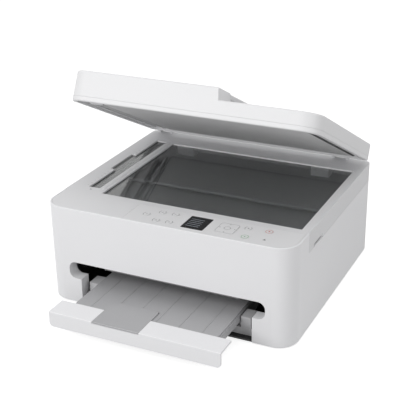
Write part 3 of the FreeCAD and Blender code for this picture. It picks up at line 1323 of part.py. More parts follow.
def make_document_pad():
    top = LID_SEAM - LID_WEB
    low = top - PAD_T
    flat = rounded_plate(PAD_LEFT, PAD_RIGHT, PAD_FRONT, PAD_REAR_Y, low + PAD_CROWN, top, PAD_FRONT_R,
                         PAD_REAR_R)
    half = (PAD_REAR_Y - PAD_FRONT) / 2
    r = (half ** 2 + PAD_CROWN ** 2) / (2 * PAD_CROWN)
    crown = rod_x(PAD_LEFT, PAD_RIGHT, PAD_FRONT + half, low + r, r)
    outline = rounded_plate(PAD_LEFT, PAD_RIGHT, PAD_FRONT, PAD_REAR_Y, low, low + PAD_CROWN,
                            PAD_FRONT_R, PAD_REAR_R)
    return one(flat.fuse(crown.common(outline)))


def hump_step(inset, low, high):
    right = HUMP_RIGHT - inset
    points = [(right, high + 1), (right + HUMP_LEAN, low), (LID_SIDE + 1, low), (LID_SIDE + 1, high + 1)]
    return front_profile(points, LID_FRONT - 1, LID_REAR + 1)


def lid_outer():
    low, high = TOP_Z + LID_LOW, TOP_Z + LID_HIGH
    shell = lid_solid(0.0, LID_SEAM + SEAM / 2, high).cut(hump_step(0.0, low, high)).removeSplitter()
    inner_x = HUMP_RIGHT + HUMP_LEAN
    rim = [e for e in level_edges(shell, high) + level_edges(shell, low)
           if abs(e.BoundBox.XMin - inner_x) > 1e-6 or abs(e.BoundBox.XMax - inner_x) > 1e-6]
    return shell.makeFillet(LID_EDGE_R, rim)


def lid_hollow():
    low, high = TOP_Z + LID_LOW - WALL, TOP_Z + LID_HIGH - WALL
    bottom = LID_SEAM - 1
    middle = block(WELL_LEFT - WALL, DOC_RIGHT + WALL, WELL_FRONT - WALL, WELL_REAR + WALL,
                   bottom - 1, high + 1)
    return lid_solid(WALL, bottom, high).cut([hump_step(WALL, low, high), middle])


def make_lid_shell():
    floor, top = TOP_Z + FEEDER_FLOOR, TOP_Z + LID_HIGH + 1
    feeder = block(WELL_LEFT, HUMP_RIGHT - ENTRY_T, WELL_FRONT, WELL_REAR, floor, top)
    mouth = block(HUMP_RIGHT - ENTRY_T - 1, HUMP_RIGHT + HUMP_LEAN + 1, WELL_FRONT, WELL_REAR,
                  TOP_Z + ENTRY_TOP, top)
    document = block(DOC_LEFT - SLIDE, DOC_RIGHT, WELL_FRONT, WELL_REAR, TOP_Z + DOC_FLOOR, top)
    slit = block(STRIP_LEFT, STRIP_RIGHT - 4 * READ_SLIT, STRIP_FRONT + 2 * READ_SLIT,
                 STRIP_REAR - 2 * READ_SLIT,
                 LID_SEAM - 1, floor + 1)
    shaft = socket_y(FEEDER_ROLLER_X, WELL_FRONT - WALL - 1, WELL_REAR + WALL + 1, TOP_Z + FEEDER_ROLLER_Z,
                     FEEDER_SHAFT_R + RUN)
    y0, y1 = WELL_FRONT - PIN_DEEP, WELL_REAR + PIN_DEEP
    sockets = [socket_y(COVER_X, y0, y1, COVER_PIN_Z, COVER_PIN_R + RUN),
               socket_y(DOC_PIN_X, y0, y1, DOC_PIN_Z, DOC_PIN_R + RUN)]
    return one(lid_outer().cut(lid_hollow()).cut([feeder, mouth, document, slit, shaft] + sockets))


def end_pins(x, z, r):
    y0, y1 = WELL_FRONT + SLIDE, WELL_REAR - SLIDE
    reach = PIN_DEEP - SLIDE
    return [rod_y(x, y0 - reach, y0 + PIN_ROOT, z, r), rod_y(x, y1 - PIN_ROOT, y1 + reach, z, r)]


def make_feeder_cover():
    left, right = COVER_X - COVER_TAIL, HUMP_RIGHT + COVER_OVER
    y0, y1 = WELL_FRONT + SLIDE, WELL_REAR - SLIDE
    low, lip = COVER_TOP - COVER_T, COVER_TOP - COVER_LIP
    bevel = COVER_PIN_R
    points = [(left, low), (right - COVER_T, low), (right - COVER_T, lip), (right - bevel, lip),
              (right, lip + bevel), (right, COVER_TOP - bevel), (right - bevel, COVER_TOP),
              (left + bevel, COVER_TOP), (left, COVER_TOP - bevel)]
    plate = front_profile(points, y0, y1)
    rib_low = low - COVER_RIB
    rib = [(left + COVER_RIB_IN, low + 0.5), (left + 2 * COVER_RIB_IN, rib_low),
           (right - 2 * COVER_RIB_IN, rib_low), (right - COVER_RIB_IN, low + 0.5)]
    ribs = [front_profile(rib, y - WALL / 3, y + WALL / 3)
            for y in (y0 + 2 * COVER_RIB_IN, 0.5 * (y0 + y1), y1 - 2 * COVER_RIB_IN)]
    barrel_r = COVER_PIN_R + WALL / 2
    barrels = [rod_y(COVER_X, y0, y0 + COVER_BARREL, COVER_PIN_Z, barrel_r),
               rod_y(COVER_X, y1 - COVER_BARREL, y1, COVER_PIN_Z, barrel_r)]
    return one(plate.fuse(ribs + barrels + end_pins(COVER_X, COVER_PIN_Z, COVER_PIN_R)))


def make_feeder_roller():
    x, z = FEEDER_ROLLER_X, TOP_Z + FEEDER_ROLLER_Z
    y0, y1 = WELL_FRONT - WALL, WELL_REAR + WALL
    shaft = prism_y(x, y0 + JOURNAL, y1 - JOURNAL, z, FEEDER_SHAFT_R, 6)
    journals = [rod_y(x, y0, y0 + JOURNAL, z, FEEDER_SHAFT_R), rod_y(x, y1 - JOURNAL, y1, z,
                                                                     FEEDER_SHAFT_R)]
    half = FEEDER_TYRE / 2
    tyres = [prism_y(x, doc_middle() + y - half, doc_middle() + y + half, z, FEEDER_ROLLER_R, FLUTES)
             for y in (-FEEDER_TYRE, FEEDER_TYRE)]
    return one(shaft.fuse(journals + tyres))


def make_document_tray():
    y0, y1 = WELL_FRONT + SLIDE, WELL_REAR - SLIDE
    right = DOC_RIGHT - 2 * SLIDE
    low = DOC_Z - DOC_T
    plate = block(DOC_LEFT + SLIDE, right, y0, y1, low, DOC_Z)
    legs = [block(right - DOC_LEG, right - DOC_LEG / 2, y - DOC_LEG, y + DOC_LEG,
                  TOP_Z + DOC_FLOOR + SLIDE, low + 0.5)
            for y in (y0 + 3 * DOC_LEG, y1 - 3 * DOC_LEG)]
    half = DOC_STEM + SLIDE
    slots = [block(doc_guide_x() - half, doc_guide_x() + half,
                   *sorted((doc_guide_y(s) + 2 * s * SLIDE, doc_middle() + s * DOC_SLOT_IN)), low - 1, DOC_Z + 1)
             for s in (-1, 1)]
    finger = rod_z(right, doc_middle(), low - 1, DOC_Z + 1, DOC_FINGER_R)
    return one(plate.fuse(legs + end_pins(DOC_PIN_X, DOC_PIN_Z, DOC_PIN_R)).cut(slots + [finger]))


def doc_middle():
    return 0.5 * (WELL_FRONT + WELL_REAR)


def doc_guide_x():
    return DOC_LEFT + DOC_GUIDE_OFF


def doc_guide_y(side):
    return WELL_FRONT + DOC_GUIDE_IN if side < 0 else WELL_REAR - DOC_GUIDE_IN


def make_document_guide(side):
    x, y = doc_guide_x(), doc_guide_y(side)
    low = DOC_Z + SLIDE / 2
    x0, x1 = x - DOC_GUIDE_LONG / 2, x + DOC_GUIDE_LONG / 2
    flat = block(x0, x1, *sorted((y, y - side * DOC_GUIDE_WIDE)), low, low + DOC_GUIDE_FLAT)
    wall = block(x0, x1, *sorted((y, y + side * DOC_GUIDE_T)), low, low + DOC_GUIDE_RISE)
    stem = block(x - DOC_STEM, x + DOC_STEM, *sorted((y - side * DOC_LEG, y)), DOC_Z - DOC_T - 1.0,
                 low + 0.5)
    return one(flat.fuse([wall, stem]))


# Electronics
def inlet_solid(grow, y0, y1):
    x = -SIDE_X + 2 * WALL + SUPPLY_WIDE / 2
    wide, high = INLET_WIDE / 2 + grow, INLET_HIGH / 2 + grow
    return rounded_front(x - wide, x + wide, INLET_Z - high, INLET_Z + high, y0, y1, INLET_R)


def usb_solid(grow, y0, y1):
    x = SIDE_X - WALL - BOARD_IN
    high = USB_HIGH / 2 + grow
    return block(x - USB_WIDE - grow, x + grow, y0, y1, USB_Z - high, USB_Z + high)


def make_power_supply():
    left, rear = -SIDE_X + 2 * WALL, REAR_Y - WALL - BOARD_GAP
    top = FLOOR_Z + SUPPLY_HIGH
    box = block(left, left + SUPPLY_WIDE, rear - SUPPLY_DEEP, rear, FLOOR_Z, top)
    vents = [block(left + VENT_IN, left + SUPPLY_WIDE - VENT_IN, rear - SUPPLY_DEEP + y - VENT_WIDE / 2,
                   rear - SUPPLY_DEEP + y + VENT_WIDE / 2, top - WALL, top + 1)
             for y in [VENT_IN + 2 * VENT_WIDE * (i + 1) for i in range(VENTS)]]
    socket = inlet_solid(0.0, rear - 1.0, REAR_Y - BOARD_GAP / 4)
    x = left + SUPPLY_WIDE / 2
    recess = rounded_front(x - PLUG_WIDE / 2, x + PLUG_WIDE / 2, INLET_Z - PLUG_HIGH / 2,
                           INLET_Z + PLUG_HIGH / 2,
                           REAR_Y - PLUG_DEEP, REAR_Y + 1, PLUG_R)
    prongs = [rod_y(x + s * PLUG_WIDE / 4, REAR_Y - PLUG_DEEP - 1, REAR_Y - PLUG_DEEP + PRONG_LONG,
                    INLET_Z, PRONG_R)
              for s in (-1, 1)]
    return one(box.cut(vents).fuse(socket).cut(recess).fuse(prongs))


def make_main_board():
    x, rear = SIDE_X - WALL - BOARD_IN, REAR_Y - WALL - BOARD_GAP
    front = rear - BOARD_DEEP
    board = block(x, x + BOARD_T, front, rear, FLOOR_Z, BOARD_HIGH)
    chips = [block(x - CHIP_T, x + BOARD_T / 2, front + y, front + y + wide, z, z + high) for y, wide, z,
             high in CHIPS]
    high = USB_HIGH / 2
    port = usb_solid(0.0, rear - PLUG_DEEP, REAR_Y - BOARD_GAP / 4)
    mouth = block(x - USB_WIDE + USB_T, x - USB_T, REAR_Y - PLUG_DEEP + USB_T, REAR_Y + 1,
                  USB_Z - high + USB_T, USB_Z + high - USB_T)
    shield = block(x - 1.0, x + BOARD_T / 2, rear - PLUG_DEEP, rear, USB_Z - high, USB_Z + high)
    return one(board.fuse(chips + [port, shield]).cut(mouth))


def fixed_pieces():
    return {
        "outer_case": make_outer_case(),
        "base_tray": make_base_tray(),
        "rubber_feet": make_rubber_feet(),
        "inner_frame": make_inner_frame(),
        "guide_rail": make_guide_rail(),
        "platen": make_platen(),
        "exit_guide": make_exit_guide(),
        "uturn_guide": make_uturn_guide(),
        "feed_motor": make_feed_motor(),
        "carriage_motor": make_carriage_motor(),
        "carriage_belt": make_carriage_belt(),
        "purge_unit": make_purge_unit(),
        "power_supply": make_power_supply(),
        "main_board": make_main_board(),
    }


def paper_path_pieces():
    return {
        "feed_roller": make_feed_roller(),
        "drive_pinion": make_drive_pinion(),
        "pinch_rollers": make_pinch_rollers(),
        "exit_roller": make_exit_roller(),
        "star_wheels": make_star_wheels(),
        "pickup_arm": make_pickup_arm(),
        "pickup_roller": make_pickup_roller(),
        "paper_cassette": make_paper_cassette(),
        "left_paper_guide": make_side_guide(-1),
        "right_paper_guide": make_side_guide(1),
        "output_tray": make_output_tray(),
        "tray_lip": make_tray_lip(),
        "paper_support": make_paper_support(),
    }


def carriage_pieces():
    return {
        "motor_pulley": pulley(PULLEY_X),
        "idler_pulley": pulley(-PULLEY_X),
        "print_carriage": make_print_carriage(),
        "black_cartridge": make_cartridge(0),
        "color_cartridge": make_cartridge(1),
        "black_latch": make_latch(0),
        "color_latch": make_latch(1),
    }


def scanner_pieces():
    return {
        "scanner_frame": make_scanner_frame(),
        "scanner_pan": make_scanner_pan(),
        "platen_glass": make_platen_glass(),
        "feeder_glass": make_feeder_glass(),
        "scan_head": make_scan_head(),
        "operation_panel": make_operation_panel(),
        "display": make_display(),
        "panel_board": make_panel_board(),
        "navigation_pad": make_navigation_pad(),
        "ok_key": make_ok_key(),
    }


def lid_pieces():
    return {
        "lid_base": make_lid_base(),
        "lid_shell": make_lid_shell(),
        "document_pad": make_document_pad(),
        "feeder_cover": make_feeder_cover(),
        "feeder_roller": make_feeder_roller(),
        "document_tray": make_document_tray(),
        "front_document_guide": make_document_guide(-1),
        "rear_document_guide": make_document_guide(1),
    }


def all_pieces():
    pieces = {**fixed_pieces(), **paper_path_pieces(), **carriage_pieces(), **scanner_pieces()}
    for name in KEYS:
        pieces[name] = make_key(name)
    for name, shape in lid_pieces().items():
        pieces[name] = opened(shape)
    return pieces


def main():
    os.makedirs("parts", exist_ok=True)
    for name, shape in all_pieces().items():
        shape.exportStep("parts/" + name + ".step")
        print(name, len(shape.Solids), "solid", round(shape.Volume / 1000.0, 2), "cm3", shape.isValid())


main()
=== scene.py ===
# %% [markdown]
# # A desktop inkjet printer
# The construction model already holds every moulded piece in its true place. This lesson dresses it:
# camera and light first, then the finishes, then the soft pad and the small printed signs.
# All lengths are in metres, X runs to the viewer's right, Y to the rear and Z up.

# %% Load the construction model
import math

import bmesh
import bpy
from mathutils import Matrix, Vector, noise


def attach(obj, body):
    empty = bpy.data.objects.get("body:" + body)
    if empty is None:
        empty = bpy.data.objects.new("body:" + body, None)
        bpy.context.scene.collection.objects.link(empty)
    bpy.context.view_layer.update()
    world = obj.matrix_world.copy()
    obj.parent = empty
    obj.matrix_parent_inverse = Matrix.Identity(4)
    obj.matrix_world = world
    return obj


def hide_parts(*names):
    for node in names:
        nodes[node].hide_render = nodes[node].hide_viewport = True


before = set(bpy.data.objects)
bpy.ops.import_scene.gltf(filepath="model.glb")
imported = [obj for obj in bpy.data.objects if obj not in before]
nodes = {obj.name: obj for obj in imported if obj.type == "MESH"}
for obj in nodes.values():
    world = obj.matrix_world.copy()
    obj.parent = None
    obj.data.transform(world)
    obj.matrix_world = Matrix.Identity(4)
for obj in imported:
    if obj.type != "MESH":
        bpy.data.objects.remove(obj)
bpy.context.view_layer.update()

# %% [markdown]
# ## The camera
# The picture was taken from the front right, a little above the printer, with a long lens.
# The place and the lens come from the straight edges of the body, so they are set as plain numbers.

# %% Camera
CAMERA_PLACE = Vector((0.5827, -1.2409, 0.7260))
CAMERA_AZIMUTH = math.radians(25.567)
CAMERA_ELEVATION = math.radians(24.108)
CAMERA_ROLL = math.radians(-0.863)
CAMERA_LENS = 83.06


def camera_axes(azimuth, elevation, roll):
    back = Vector((math.sin(azimuth) * math.cos(elevation), -math.cos(azimuth) * math.cos(elevation),
                   math.sin(elevation)))
    right = (-back).cross(Vector((0, 0, 1))).normalized()
    up = right.cross(-back)
    turned_right = math.cos(roll) * right + math.sin(roll) * up
    turned_up = -math.sin(roll) * right + math.cos(roll) * up
    return turned_right, turned_up, back


lens = bpy.data.cameras.new("photo_camera")
lens.lens = CAMERA_LENS
lens.sensor_width = 36.0
lens.clip_end = 50.0
camera = bpy.data.objects.new("photo_camera", lens)
bpy.context.scene.collection.objects.link(camera)
axes = Matrix(camera_axes(CAMERA_AZIMUTH, CAMERA_ELEVATION, CAMERA_ROLL)).transposed().to_4x4()
camera.matrix_world = Matrix.Translation(CAMERA_PLACE) @ axes
bpy.context.scene.camera = camera
print("camera at", [round(v, 3) for v in camera.location])

# %% [markdown]
# ## Light and floor
# White plastic needs soft light with a clear direction, or its forms vanish. One large lamp stands at the
# front left, so the front is the lightest face. A weaker one at the right keeps that side from going grey,
# and the sky fills the rest. The floor and the sky show as white to the camera and to reflections,
# and the floor still takes the shadow.

# %% Lamps, sky and floor
SKY_FILL, SKY_SEEN = 0.6, 1.25
FLOOR_TONE, FLOOR_GLOW = 0.5, 0.8
FLOOR_HALF, FLOOR_DROP = 20.0, 0.0002

scene = bpy.context.scene
scene.view_settings.view_transform = "Standard"


def soft_lamp(name, place, target, size, power):
    data = bpy.data.lights.new(name, "AREA")
    data.shape = "SQUARE"
    data.size = size
    data.energy = power
    lamp = bpy.data.objects.new(name, data)
    lamp.location = place
    lamp.rotation_euler = (Vector(target) - Vector(place)).to_track_quat("-Z", "Y").to_euler()
    scene.collection.objects.link(lamp)


soft_lamp("front_left_lamp", place=(-1.3, -2.2, 1.5), target=(0, 0, 0.12), size=1.8, power=38)
soft_lamp("right_lamp", place=(2.2, -1.3, 1.0), target=(0, 0, 0.12), size=1.6, power=13)
soft_lamp("top_lamp", place=(0.2, 0.1, 2.6), target=(0, 0, 0.1), size=1.6, power=10)


def seen_directly(tree):
    """A value of 1 for rays that reach the camera straight, by a mirror or through glass."""
    path = tree.nodes.new("ShaderNodeLightPath")
    first = tree.nodes.new("ShaderNodeMath")
    first.operation = "MAXIMUM"
    second = tree.nodes.new("ShaderNodeMath")
    second.operation = "MAXIMUM"
    tree.links.new(path.outputs["Is Camera Ray"], first.inputs[0])
    tree.links.new(path.outputs["Is Glossy Ray"], first.inputs[1])
    tree.links.new(first.outputs[0], second.inputs[0])
    tree.links.new(path.outputs["Is Transmission Ray"], second.inputs[1])
    return second.outputs[0]


sky = bpy.data.worlds.new("white_sky")
scene.world = sky
sky.use_nodes = True
tree = sky.node_tree
tree.nodes.clear()
strength = tree.nodes.new("ShaderNodeMapRange")
strength.inputs["To Min"].default_value = SKY_FILL
strength.inputs["To Max"].default_value = SKY_SEEN
tree.links.new(seen_directly(tree), strength.inputs["Value"])
background = tree.nodes.new("ShaderNodeBackground")
tree.links.new(strength.outputs["Result"], background.inputs["Strength"])
world_out = tree.nodes.new("ShaderNodeOutputWorld")
tree.links.new(background.outputs[0], world_out.inputs[0])

floor_material = bpy.data.materials.new("pale_floor")
floor_material.use_nodes = True
tree = floor_material.node_tree
tree.nodes.clear()
matt = tree.nodes.new("ShaderNodeBsdfDiffuse")
matt.inputs["Color"].default_value = (FLOOR_TONE, FLOOR_TONE, FLOOR_TONE, 1)
glow = tree.nodes.new("ShaderNodeEmission")
glow_strength = tree.nodes.new("ShaderNodeMath")
glow_strength.operation = "MULTIPLY"
glow_strength.inputs[1].default_value = FLOOR_GLOW
tree.links.new(seen_directly(tree), glow_strength.inputs[0])
tree.links.new(glow_strength.outputs[0], glow.inputs["Strength"])
both = tree.nodes.new("ShaderNodeAddShader")
tree.links.new(matt.outputs[0], both.inputs[0])
tree.links.new(glow.outputs[0], both.inputs[1])
floor_out = tree.nodes.new("ShaderNodeOutputMaterial")
tree.links.new(both.outputs[0], floor_out.inputs[0])

floor_mesh = bpy.data.meshes.new("floor")
floor_mesh.from_pydata([(-FLOOR_HALF, -FLOOR_HALF, 0), (FLOOR_HALF, -FLOOR_HALF, 0),
                        (FLOOR_HALF, FLOOR_HALF, 0), (-FLOOR_HALF, FLOOR_HALF, 0)], [], [(0, 1, 2, 3)])
floor_mesh.materials.append(floor_material)
floor = bpy.data.objects.new("floor", floor_mesh)
floor.location.z = -FLOOR_DROP
scene.collection.objects.link(floor)

# %% [markdown]
# ## A moulded skin
# Every plastic piece of the printer comes out of a spark-eroded mould, so its skin has a fine, even grain
# and small shifts of gloss. One shader group makes that grain for all of them, and each finish sets its own
# values.

# %% Shader group for moulded skin
CLOUD_SCALE, CLOUD_DETAIL, GRAIN_DETAIL = 9.0, 3.0, 2.0


def moulded_skin_group():
    group = bpy.data.node_groups.new("moulded_skin", "ShaderNodeTree")
    sockets = group.interface
    for name, kind, value in (("Light Tone", "NodeSocketColor", (0.8, 0.8, 0.8, 1)),
                              ("Dark Tone", "NodeSocketColor", (0.75, 0.75, 0.75, 1)),
                              ("Grain Size", "NodeSocketFloat", 1400.0),
                              ("Smoothest", "NodeSocketFloat", 0.4),
                              ("Roughest", "NodeSocketFloat", 0.55)):
        socket = sockets.new_socket(name, in_out="INPUT", socket_type=kind)
        socket.default_value = value
    for name, kind in (("Color", "NodeSocketColor"), ("Roughness", "NodeSocketFloat"),
                       ("Height", "NodeSocketFloat")):
        sockets.new_socket(name, in_out="OUTPUT", socket_type=kind)
    tree_nodes, links = group.nodes, group.links
    inside, outside = tree_nodes.new("NodeGroupInput"), tree_nodes.new("NodeGroupOutput")
    place = tree_nodes.new("ShaderNodeTexCoord")
    grain = tree_nodes.new("ShaderNodeTexNoise")
    grain.inputs["Detail"].default_value = GRAIN_DETAIL
    links.new(place.outputs["Object"], grain.inputs["Vector"])
    links.new(inside.outputs["Grain Size"], grain.inputs["Scale"])
    cloud = tree_nodes.new("ShaderNodeTexNoise")
    cloud.inputs["Scale"].default_value = CLOUD_SCALE
    cloud.inputs["Detail"].default_value = CLOUD_DETAIL
    links.new(place.outputs["Object"], cloud.inputs["Vector"])
    tone = tree_nodes.new("ShaderNodeMix")
    tone.data_type = "RGBA"
    links.new(cloud.outputs["Fac"], tone.inputs["Factor"])
    links.new(inside.outputs["Dark Tone"], tone.inputs["A"])
    links.new(inside.outputs["Light Tone"], tone.inputs["B"])
    gloss = tree_nodes.new("ShaderNodeMapRange")
    links.new(cloud.outputs["Fac"], gloss.inputs["Value"])
    links.new(inside.outputs["Smoothest"], gloss.inputs["To Min"])
    links.new(inside.outputs["Roughest"], gloss.inputs["To Max"])
    links.new(tone.outputs["Result"], outside.inputs["Color"])
    links.new(gloss.outputs["Result"], outside.inputs["Roughness"])
    links.new(grain.outputs["Fac"], outside.inputs["Height"])
    return group


SKIN = moulded_skin_group()
print("shader group:", SKIN.name)

# %% [markdown]
# ## The finishes
# A finish is one material with its own Principled shader. The plastics differ in tone, grain and gloss.
# The bump is kept very low, because the real grain is felt more than seen.

# %% Plastics
GRAIN_HEIGHT = 0.0002


def plastic(name, light, dark, grain=1400.0, smoothest=0.42, roughest=0.55, bump=0.05):
    material = bpy.data.materials.new(name)
    material.use_nodes = True
    links = material.node_tree.links
    shader = material.node_tree.nodes["Principled BSDF"]
    skin = material.node_tree.nodes.new("ShaderNodeGroup")
    skin.node_tree = SKIN
    skin.inputs["Light Tone"].default_value = (*light, 1)
    skin.inputs["Dark Tone"].default_value = (*dark, 1)
    skin.inputs["Grain Size"].default_value = grain
    skin.inputs["Smoothest"].default_value = smoothest
    skin.inputs["Roughest"].default_value = roughest
    raised = material.node_tree.nodes.new("ShaderNodeBump")
    raised.inputs["Strength"].default_value = bump
    raised.inputs["Distance"].default_value = GRAIN_HEIGHT
    links.new(skin.outputs["Color"], shader.inputs["Base Color"])
    links.new(skin.outputs["Roughness"], shader.inputs["Roughness"])
    links.new(skin.outputs["Height"], raised.inputs["Height"])
    links.new(raised.outputs["Normal"], shader.inputs["Normal"])
    return material


FINISH = {
    "white_case": plastic("white_case", (0.835, 0.835, 0.85), (0.82, 0.82, 0.835)),
    # The top frame's darker white is partly painted shade: the top gets less light than the front. The
    # coarser grain and duller gloss are the frame's own matt skin.
    "white_top_shaded": plastic("white_top_shaded", (0.74, 0.74, 0.75), (0.72, 0.72, 0.735), 1100.0, 0.45, 0.6, 0.08),
    "white_lid": plastic("white_lid", (0.785, 0.785, 0.795), (0.775, 0.775, 0.785)),
    "white_key": plastic("white_key", (0.76, 0.76, 0.77), (0.75, 0.75, 0.76), 1600.0, 0.38, 0.46, 0.03),
    "tray_grey": plastic("tray_grey", (0.42, 0.42, 0.43), (0.39, 0.39, 0.40)),
    "light_grey": plastic("light_grey", (0.56, 0.56, 0.57), (0.53, 0.53, 0.54)),
    "guide_grey": plastic("guide_grey", (0.28, 0.28, 0.29), (0.25, 0.25, 0.26)),
    # The near black of the inside pieces is partly painted shade: the deep inside of the body lies in shadow,
    # so its plastic is made darker than it is. The black cartridge is black of its own.
    "inside_black_and_shade": plastic("inside_black_and_shade", (0.018, 0.018, 0.019), (0.012, 0.012, 0.013), 900.0, 0.5, 0.65),
    "inside_grey": plastic("inside_grey", (0.23, 0.23, 0.235), (0.21, 0.21, 0.215)),
    "ink_blue": plastic("ink_blue", (0.05, 0.12, 0.30), (0.04, 0.10, 0.26)),
    "latch_blue": plastic("latch_blue", (0.20, 0.28, 0.40), (0.18, 0.25, 0.37)),
}
print("plastics:", len(FINISH))

# %% [markdown]
# Steel, rubber, glass, the circuit boards and the screen don't come out of such a mould, so each gets
# its own nodes. Sheet steel shows long drawn streaks, rubber is matt with a coarse grain, and a board has
# a weave under its lacquer.

# %% Metal, rubber, boards and glass
NOISE_DETAIL = 4.0
GLASS_TINT, GLASS_BENDING = (0.86, 0.88, 0.88, 1), 1.5


def blank_material(name):
    material = bpy.data.materials.new(name)
    material.use_nodes = True
    return material, material.node_tree, material.node_tree.nodes["Principled BSDF"]


def mixed_tone(tree, factor, dark, light, shader):
    tone = tree.nodes.new("ShaderNodeMix")
    tone.data_type = "RGBA"
    tone.inputs["A"].default_value = (*dark, 1)
    tone.inputs["B"].default_value = (*light, 1)
    tree.links.new(factor, tone.inputs["Factor"])
    tree.links.new(tone.outputs["Result"], shader.inputs["Base Color"])


def fine_noise(tree, scale, stretch=(1.0, 1.0, 1.0)):
    place = tree.nodes.new("ShaderNodeTexCoord")
    mapping = tree.nodes.new("ShaderNodeMapping")
    mapping.inputs["Scale"].default_value = stretch
    pattern = tree.nodes.new("ShaderNodeTexNoise")
    pattern.inputs["Scale"].default_value = scale
    pattern.inputs["Detail"].default_value = NOISE_DETAIL
    tree.links.new(place.outputs["Object"], mapping.inputs["Vector"])
    tree.links.new(mapping.outputs["Vector"], pattern.inputs["Vector"])
    return pattern.outputs["Fac"]


def rough_range(tree, factor, low, high, shader):
    spread = tree.nodes.new("ShaderNodeMapRange")
    spread.inputs["To Min"].default_value = low
    spread.inputs["To Max"].default_value = high
    tree.links.new(factor, spread.inputs["Value"])
    tree.links.new(spread.outputs["Result"], shader.inputs["Roughness"])


def drawn_steel():
    material, tree, shader = blank_material("drawn_steel")
    streaks = fine_noise(tree, 600.0, stretch=(0.04, 1.0, 1.0))
    mixed_tone(tree, streaks, (0.42, 0.43, 0.44), (0.58, 0.59, 0.60), shader)
    rough_range(tree, streaks, 0.28, 0.45, shader)
    shader.inputs["Metallic"].default_value = 1.0
    return material


def matt_rubber():
    material, tree, shader = blank_material("matt_rubber")
    grain = fine_noise(tree, 700.0)
    mixed_tone(tree, grain, (0.022, 0.022, 0.022), (0.045, 0.045, 0.045), shader)
    rough_range(tree, grain, 0.7, 0.9, shader)
    return material


def circuit_board():
    material, tree, shader = blank_material("circuit_board")
    weave = fine_noise(tree, 260.0)
    mixed_tone(tree, weave, (0.012, 0.075, 0.035), (0.03, 0.13, 0.06), shader)
    rough_range(tree, weave, 0.3, 0.5, shader)
    return material


def clear_glass():
    material, tree, shader = blank_material("clear_glass")
    smear = fine_noise(tree, 30.0)
    rough_range(tree, smear, 0.0, 0.04, shader)
    shader.inputs["Base Color"].default_value = GLASS_TINT
    shader.inputs["Transmission Weight"].default_value = 1.0
    shader.inputs["IOR"].default_value = GLASS_BENDING
    return material


def dark_screen():
    material, tree, shader = blank_material("dark_screen")
    smear = fine_noise(tree, 60.0)
    mixed_tone(tree, smear, (0.008, 0.008, 0.01), (0.014, 0.014, 0.016), shader)
    rough_range(tree, smear, 0.08, 0.16, shader)
    return material


FINISH["steel"] = drawn_steel()
FINISH["rubber"] = matt_rubber()
FINISH["board"] = circuit_board()
FINISH["glass"] = clear_glass()
FINISH["screen"] = dark_screen()
print("finishes:", sorted(FINISH))

# %% [markdown]
# ## Dressing the pieces
# Each piece of the construction model gets one finish. The table is grouped by finish, as a maker would order
# the granulate for the moulds.

# %% Finish of each construction piece
DRESS = {
    "white_case": ["outer_case", "tray_lip"],
    "white_top_shaded": ["scanner_frame"],
    "white_lid": ["lid_base", "lid_shell", "feeder_cover"],
    "white_key": ["operation_panel", "navigation_pad", "ok_key", "mode_key_1", "mode_key_2", "mode_key_3",
                  "mode_key_4", "mode_key_5", "back_key", "stop_key", "start_key"],
    "tray_grey": ["output_tray", "paper_support"],
    "light_grey": ["paper_cassette", "document_tray", "front_document_guide", "rear_document_guide",
                   "left_paper_guide", "right_paper_guide", "document_pad"],
    "guide_grey": ["exit_guide"],
    "inside_black_and_shade": ["base_tray", "power_supply", "black_cartridge", "scan_head", "carriage_motor",
                     "feed_motor", "drive_pinion", "star_wheels", "uturn_guide", "platen"],
    "inside_grey": ["scanner_pan", "print_carriage", "purge_unit", "pickup_arm"],
    "ink_blue": ["color_cartridge"],
    "latch_blue": ["black_latch", "color_latch"],
    "steel": ["inner_frame", "guide_rail", "pinch_rollers", "motor_pulley", "idler_pulley"],
    "rubber": ["rubber_feet", "feed_roller", "exit_roller", "pickup_roller", "carriage_belt",
               "feeder_roller"],
    "board": ["main_board", "panel_board"],
    "glass": ["platen_glass", "feeder_glass"],
    "screen": ["display"],
}
for finish, names in DRESS.items():
    for name in names:
        nodes[name].data.materials.clear()
        nodes[name].data.materials.append(FINISH[finish])
dressed = {name for names in DRESS.values() for name in names}
print("dressed:", len(dressed), "left over:", sorted(set(nodes) - dressed))

# %% [markdown]
# ## The soft pad under the lid
# The pad presses the sheet on the glass. It is drawn in the closed place, as a grid that is pulled round at
# the corners and rolls off softly at its edges, and is then turned with the lid. The skin ends a little
# inside the
# edge, and the band there is near black: a painted shadow for the dark line along the shaded rim of the pad.

# %% Soft pad
PAD_X, PAD_Y = (-0.146, 0.183), (-0.1172, 0.1327)
PAD_TOP, PAD_THICK, PAD_CROWN, PAD_ROLL = 0.1625, 0.0047, 0.0003, 0.004
PAD_FRONT_R, PAD_REAR_R = 0.015, 0.004
# The number of edge cells that get the near-black painted shadow.
PAD_SHADOW_CELLS = 4
PAD_ROLL_STEPS = (0.0, 0.06, 0.2, 0.42, 0.7, 1.0)
PAD_EDGE_SHARE = 0.4
PAD_WAVE, PAD_WAVES_PER_METRE = 0.00012, 28.0
PAD_CELLS_WIDE, PAD_CELLS_LONG = 48, 36
PAD_GRAIN, PAD_GRAIN_HEIGHT, PAD_GRAIN_SHOWN = 900.0, 0.0003, 0.25
HINGE = Vector((0, 0.175, 0.163))
LID_ANGLE = math.radians(27)


def open_lid(point):
    """Turns a point of the closed lid to the open one."""
    return HINGE + Matrix.Rotation(-LID_ANGLE, 3, "X") @ (Vector(point) - HINGE)


def fine_steps(start, end, count):
    edge = [PAD_ROLL * share for share in PAD_ROLL_STEPS]
    middle = [start + PAD_ROLL + (end - start - 2 * PAD_ROLL) * i / count for i in range(1, count)]
    return [start + e for e in edge] + middle + [end - e for e in reversed(edge)]


